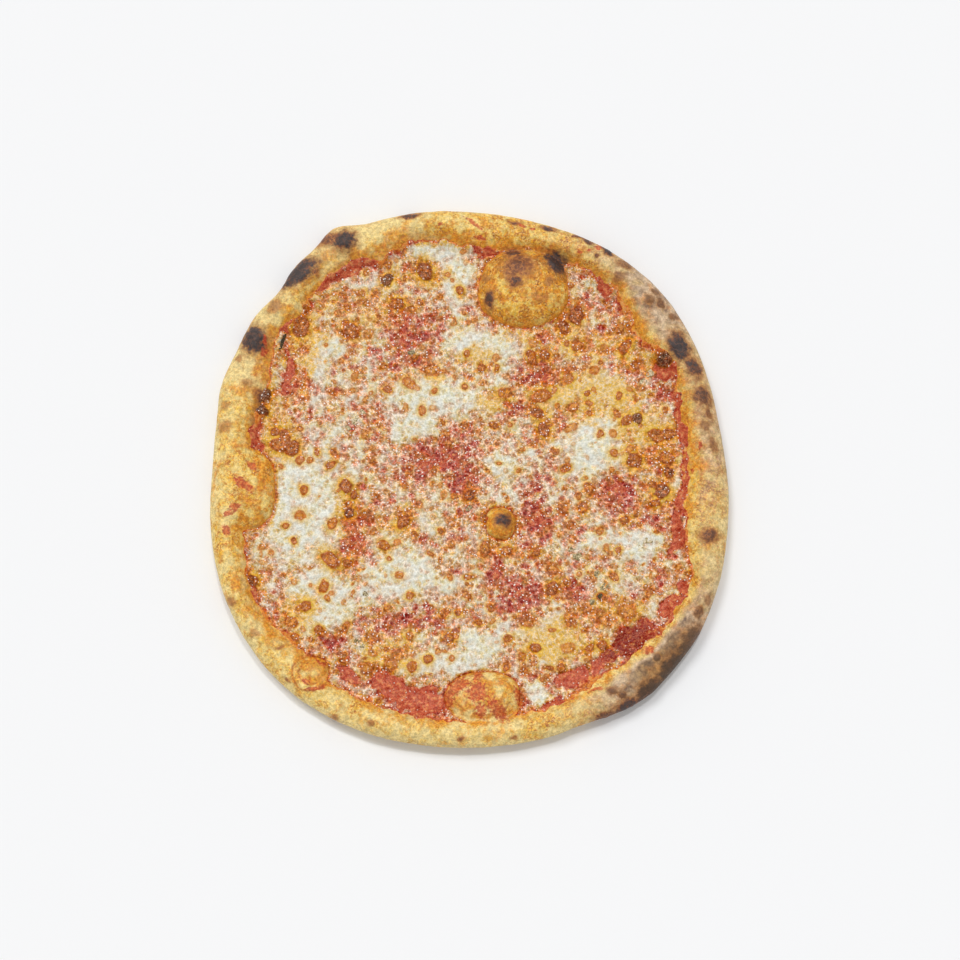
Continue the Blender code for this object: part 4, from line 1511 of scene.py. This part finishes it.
# %% Scorch, painted shadow, smears and folds
def scorched_and_shaded(tree, skin, place_on, spot, flour):
    """Lays brown halos and black blistered marks on the skin, and the painted shadow along the near
    right outer edge.
    """
    reach = stored(tree, "scorch_and_shadow_reach") + swing(cloud(place_on, 330.0), -0.3, 0.3) * 0.7
    burnt_and_shaded = stored(tree, "scorch_and_shadow_burnt")
    halo = soft_step(reach, 2.1, 0.9) * soft_step(burnt_and_shaded, 0.2, 0.8, 0.3, 0.85)
    skin = mixed(halo, skin, light(176, 114, 48))
    black = soft_step(reach, 1.4, 0.8) * soft_step(burnt_and_shaded, 0.1, 0.6, 0.4, 0.95)
    darkness = burnt_and_shaded - squiggles(spot, 230.0, 0.05) * 0.25
    darkness = darkness + soft_step(reach, 0.4, 1.2, 0.08, -0.2)
    char_and_shadow = tones(
        darkness, (0.3, 188, 124, 62), (0.5, 156, 92, 48), (0.66, 118, 68, 44),
        (0.82, 84, 56, 48), (0.94, 62, 52, 56), (1.0, 46, 40, 46),
    )
    char_and_shadow = mixed(flour * soft_step(burnt_and_shaded, 0.95, 0.7, 0.0, 0.6), char_and_shadow, light(78, 56, 38))
    return mixed(black, skin, char_and_shadow)


def smeared(tree, skin, fine, broad):
    """Adds smears of sauce, and the brown folds round the bubbles."""
    smear = soft_step(stored(tree, "smear_reach") + swing(fine, -0.3, 0.3), 1.35, 0.75, 0.0, 0.85)
    smear_colour = tones(fine, (0.35, 172, 38, 8), (0.5, 204, 76, 26), (0.66, 230, 140, 76))
    skin = mixed(smear, skin, smear_colour)
    line = calc("ABSOLUTE", stored(tree, "fold") + swing(broad, -0.25, 0.25))
    line = soft_step(line, 0.5, 0.1, 0.0, 0.55) * soft_step(broad, 0.4, 0.52)
    return mixed(line, skin, tones(fine, (0.35, 150, 70, 20), (0.65, 206, 118, 44)))


# %% Dough finish
def dough_finish():
    """Baked dough: cream to brown skin with specks, dust, oil stains and scorch marks."""
    material, tree, shader = finish("baked_dough", 0.55)
    place_on = own_place(tree)
    spot = shaken(place_on, 260.0, 2.0 * MM)
    fine = cloud(place_on, 650.0, 3.0, 0.65)
    broad = cloud(place_on, 130.0, 3.0, 0.6)
    toast = stored(tree, "toast") + swing(broad, -0.2, 0.2) + swing(fine, -0.1, 0.1)
    skin, flecks = baked_skin(toast, place_on, spot, broad)
    skin, flour = floured(tree, skin, place_on, broad)
    skin = oiled(tree, skin, fine, broad)
    skin = scorched_and_shaded(tree, skin, place_on, spot, flour)
    skin = smeared(tree, skin, fine, broad)
    skin = shaded(skin, cloud(spot, 450.0, 2.0, 0.5), 0.78, 1.14)
    skin = shaded(skin, cloud(place_on, 1000.0, 2.0, 0.6), 0.8, 1.12)
    leopard, _ = specks(spot, 70.0, 0.4, 0.5)
    below = mixed(leopard, light(216, 180, 126), light(120, 74, 44))
    feed(shader.inputs["Base Color"], mixed(stored(tree, "under"), skin, below))
    bump(shader, fine + broad * 0.8 - flecks * 0.15, 0.8 * MM, 0.8)
    return material


dough = dough_finish()
for piece in (crust, bubbles):
    paint_dough(piece)
    dress(piece, dough)

# %% [markdown]
# ## Finish of the basil
# Baked basil is nearly black where it dried on top, and grey-green where fat covers it.

# %% Basil finish
def basil_finish():
    """Dried or sunk leaf."""
    material, tree, shader = finish("baked_basil", 0.4)
    veins = cloud(own_place(tree), 900.0, 3.0, 0.6)
    colour = tones(
        stored(tree, "sunk") + swing(veins, -0.35, 0.35), (0.0, 54, 42, 24), (0.3, 98, 80, 42),
        (0.6, 152, 134, 88), (0.85, 200, 184, 142), (1.0, 224, 206, 174),
    )
    feed(shader.inputs["Base Color"], colour)
    bump(shader, veins, 0.4 * MM, 0.6)
    return material


dress(basil, basil_finish())

# %% [markdown]
# ## Floor and light
# The floor is plain and pale. A wide soft lamp high on the far left gives the shading, the
# pale sky fills the shadows, and a narrower lamp adds small glints on the wet cheese, next
# to the glints painted into its colour.

# %% Floor
bpy.ops.mesh.primitive_plane_add(size=40.0, location=(0.0, 0.0, 0.0))
floor = added("floor")
paper, _, shader = finish("paper", 0.9)
shader.inputs["Base Color"].default_value = light(244, 246, 249)
dress(floor, paper)

# %% Lights
def sun(name, azimuth, elevation, width, strength):
    """A far lamp that lights the whole floor alike. Its width in degrees softens the shadows."""
    aim = (0.0, math.pi / 2 - math.radians(elevation), math.radians(azimuth))
    bpy.ops.object.light_add(type="SUN", location=(0.0, 0.0, 1.0), rotation=aim)
    made = bpy.context.object
    made.name = name
    made.data.angle = math.radians(width)
    made.data.energy = strength


sun("soft_sun", 125.0, 58.0, 20.0, 1.05)
sun("glint_sun", 75.0, 68.0, 5.0, 0.7)
world = bpy.data.worlds.new("pale_sky")
world.use_nodes = True
sky = world.node_tree.nodes["Background"].inputs
sky["Color"].default_value = light(255, 252, 248)
sky["Strength"].default_value = 0.54
bpy.context.scene.world = world
bpy.context.scene.view_settings.view_transform = "Standard"
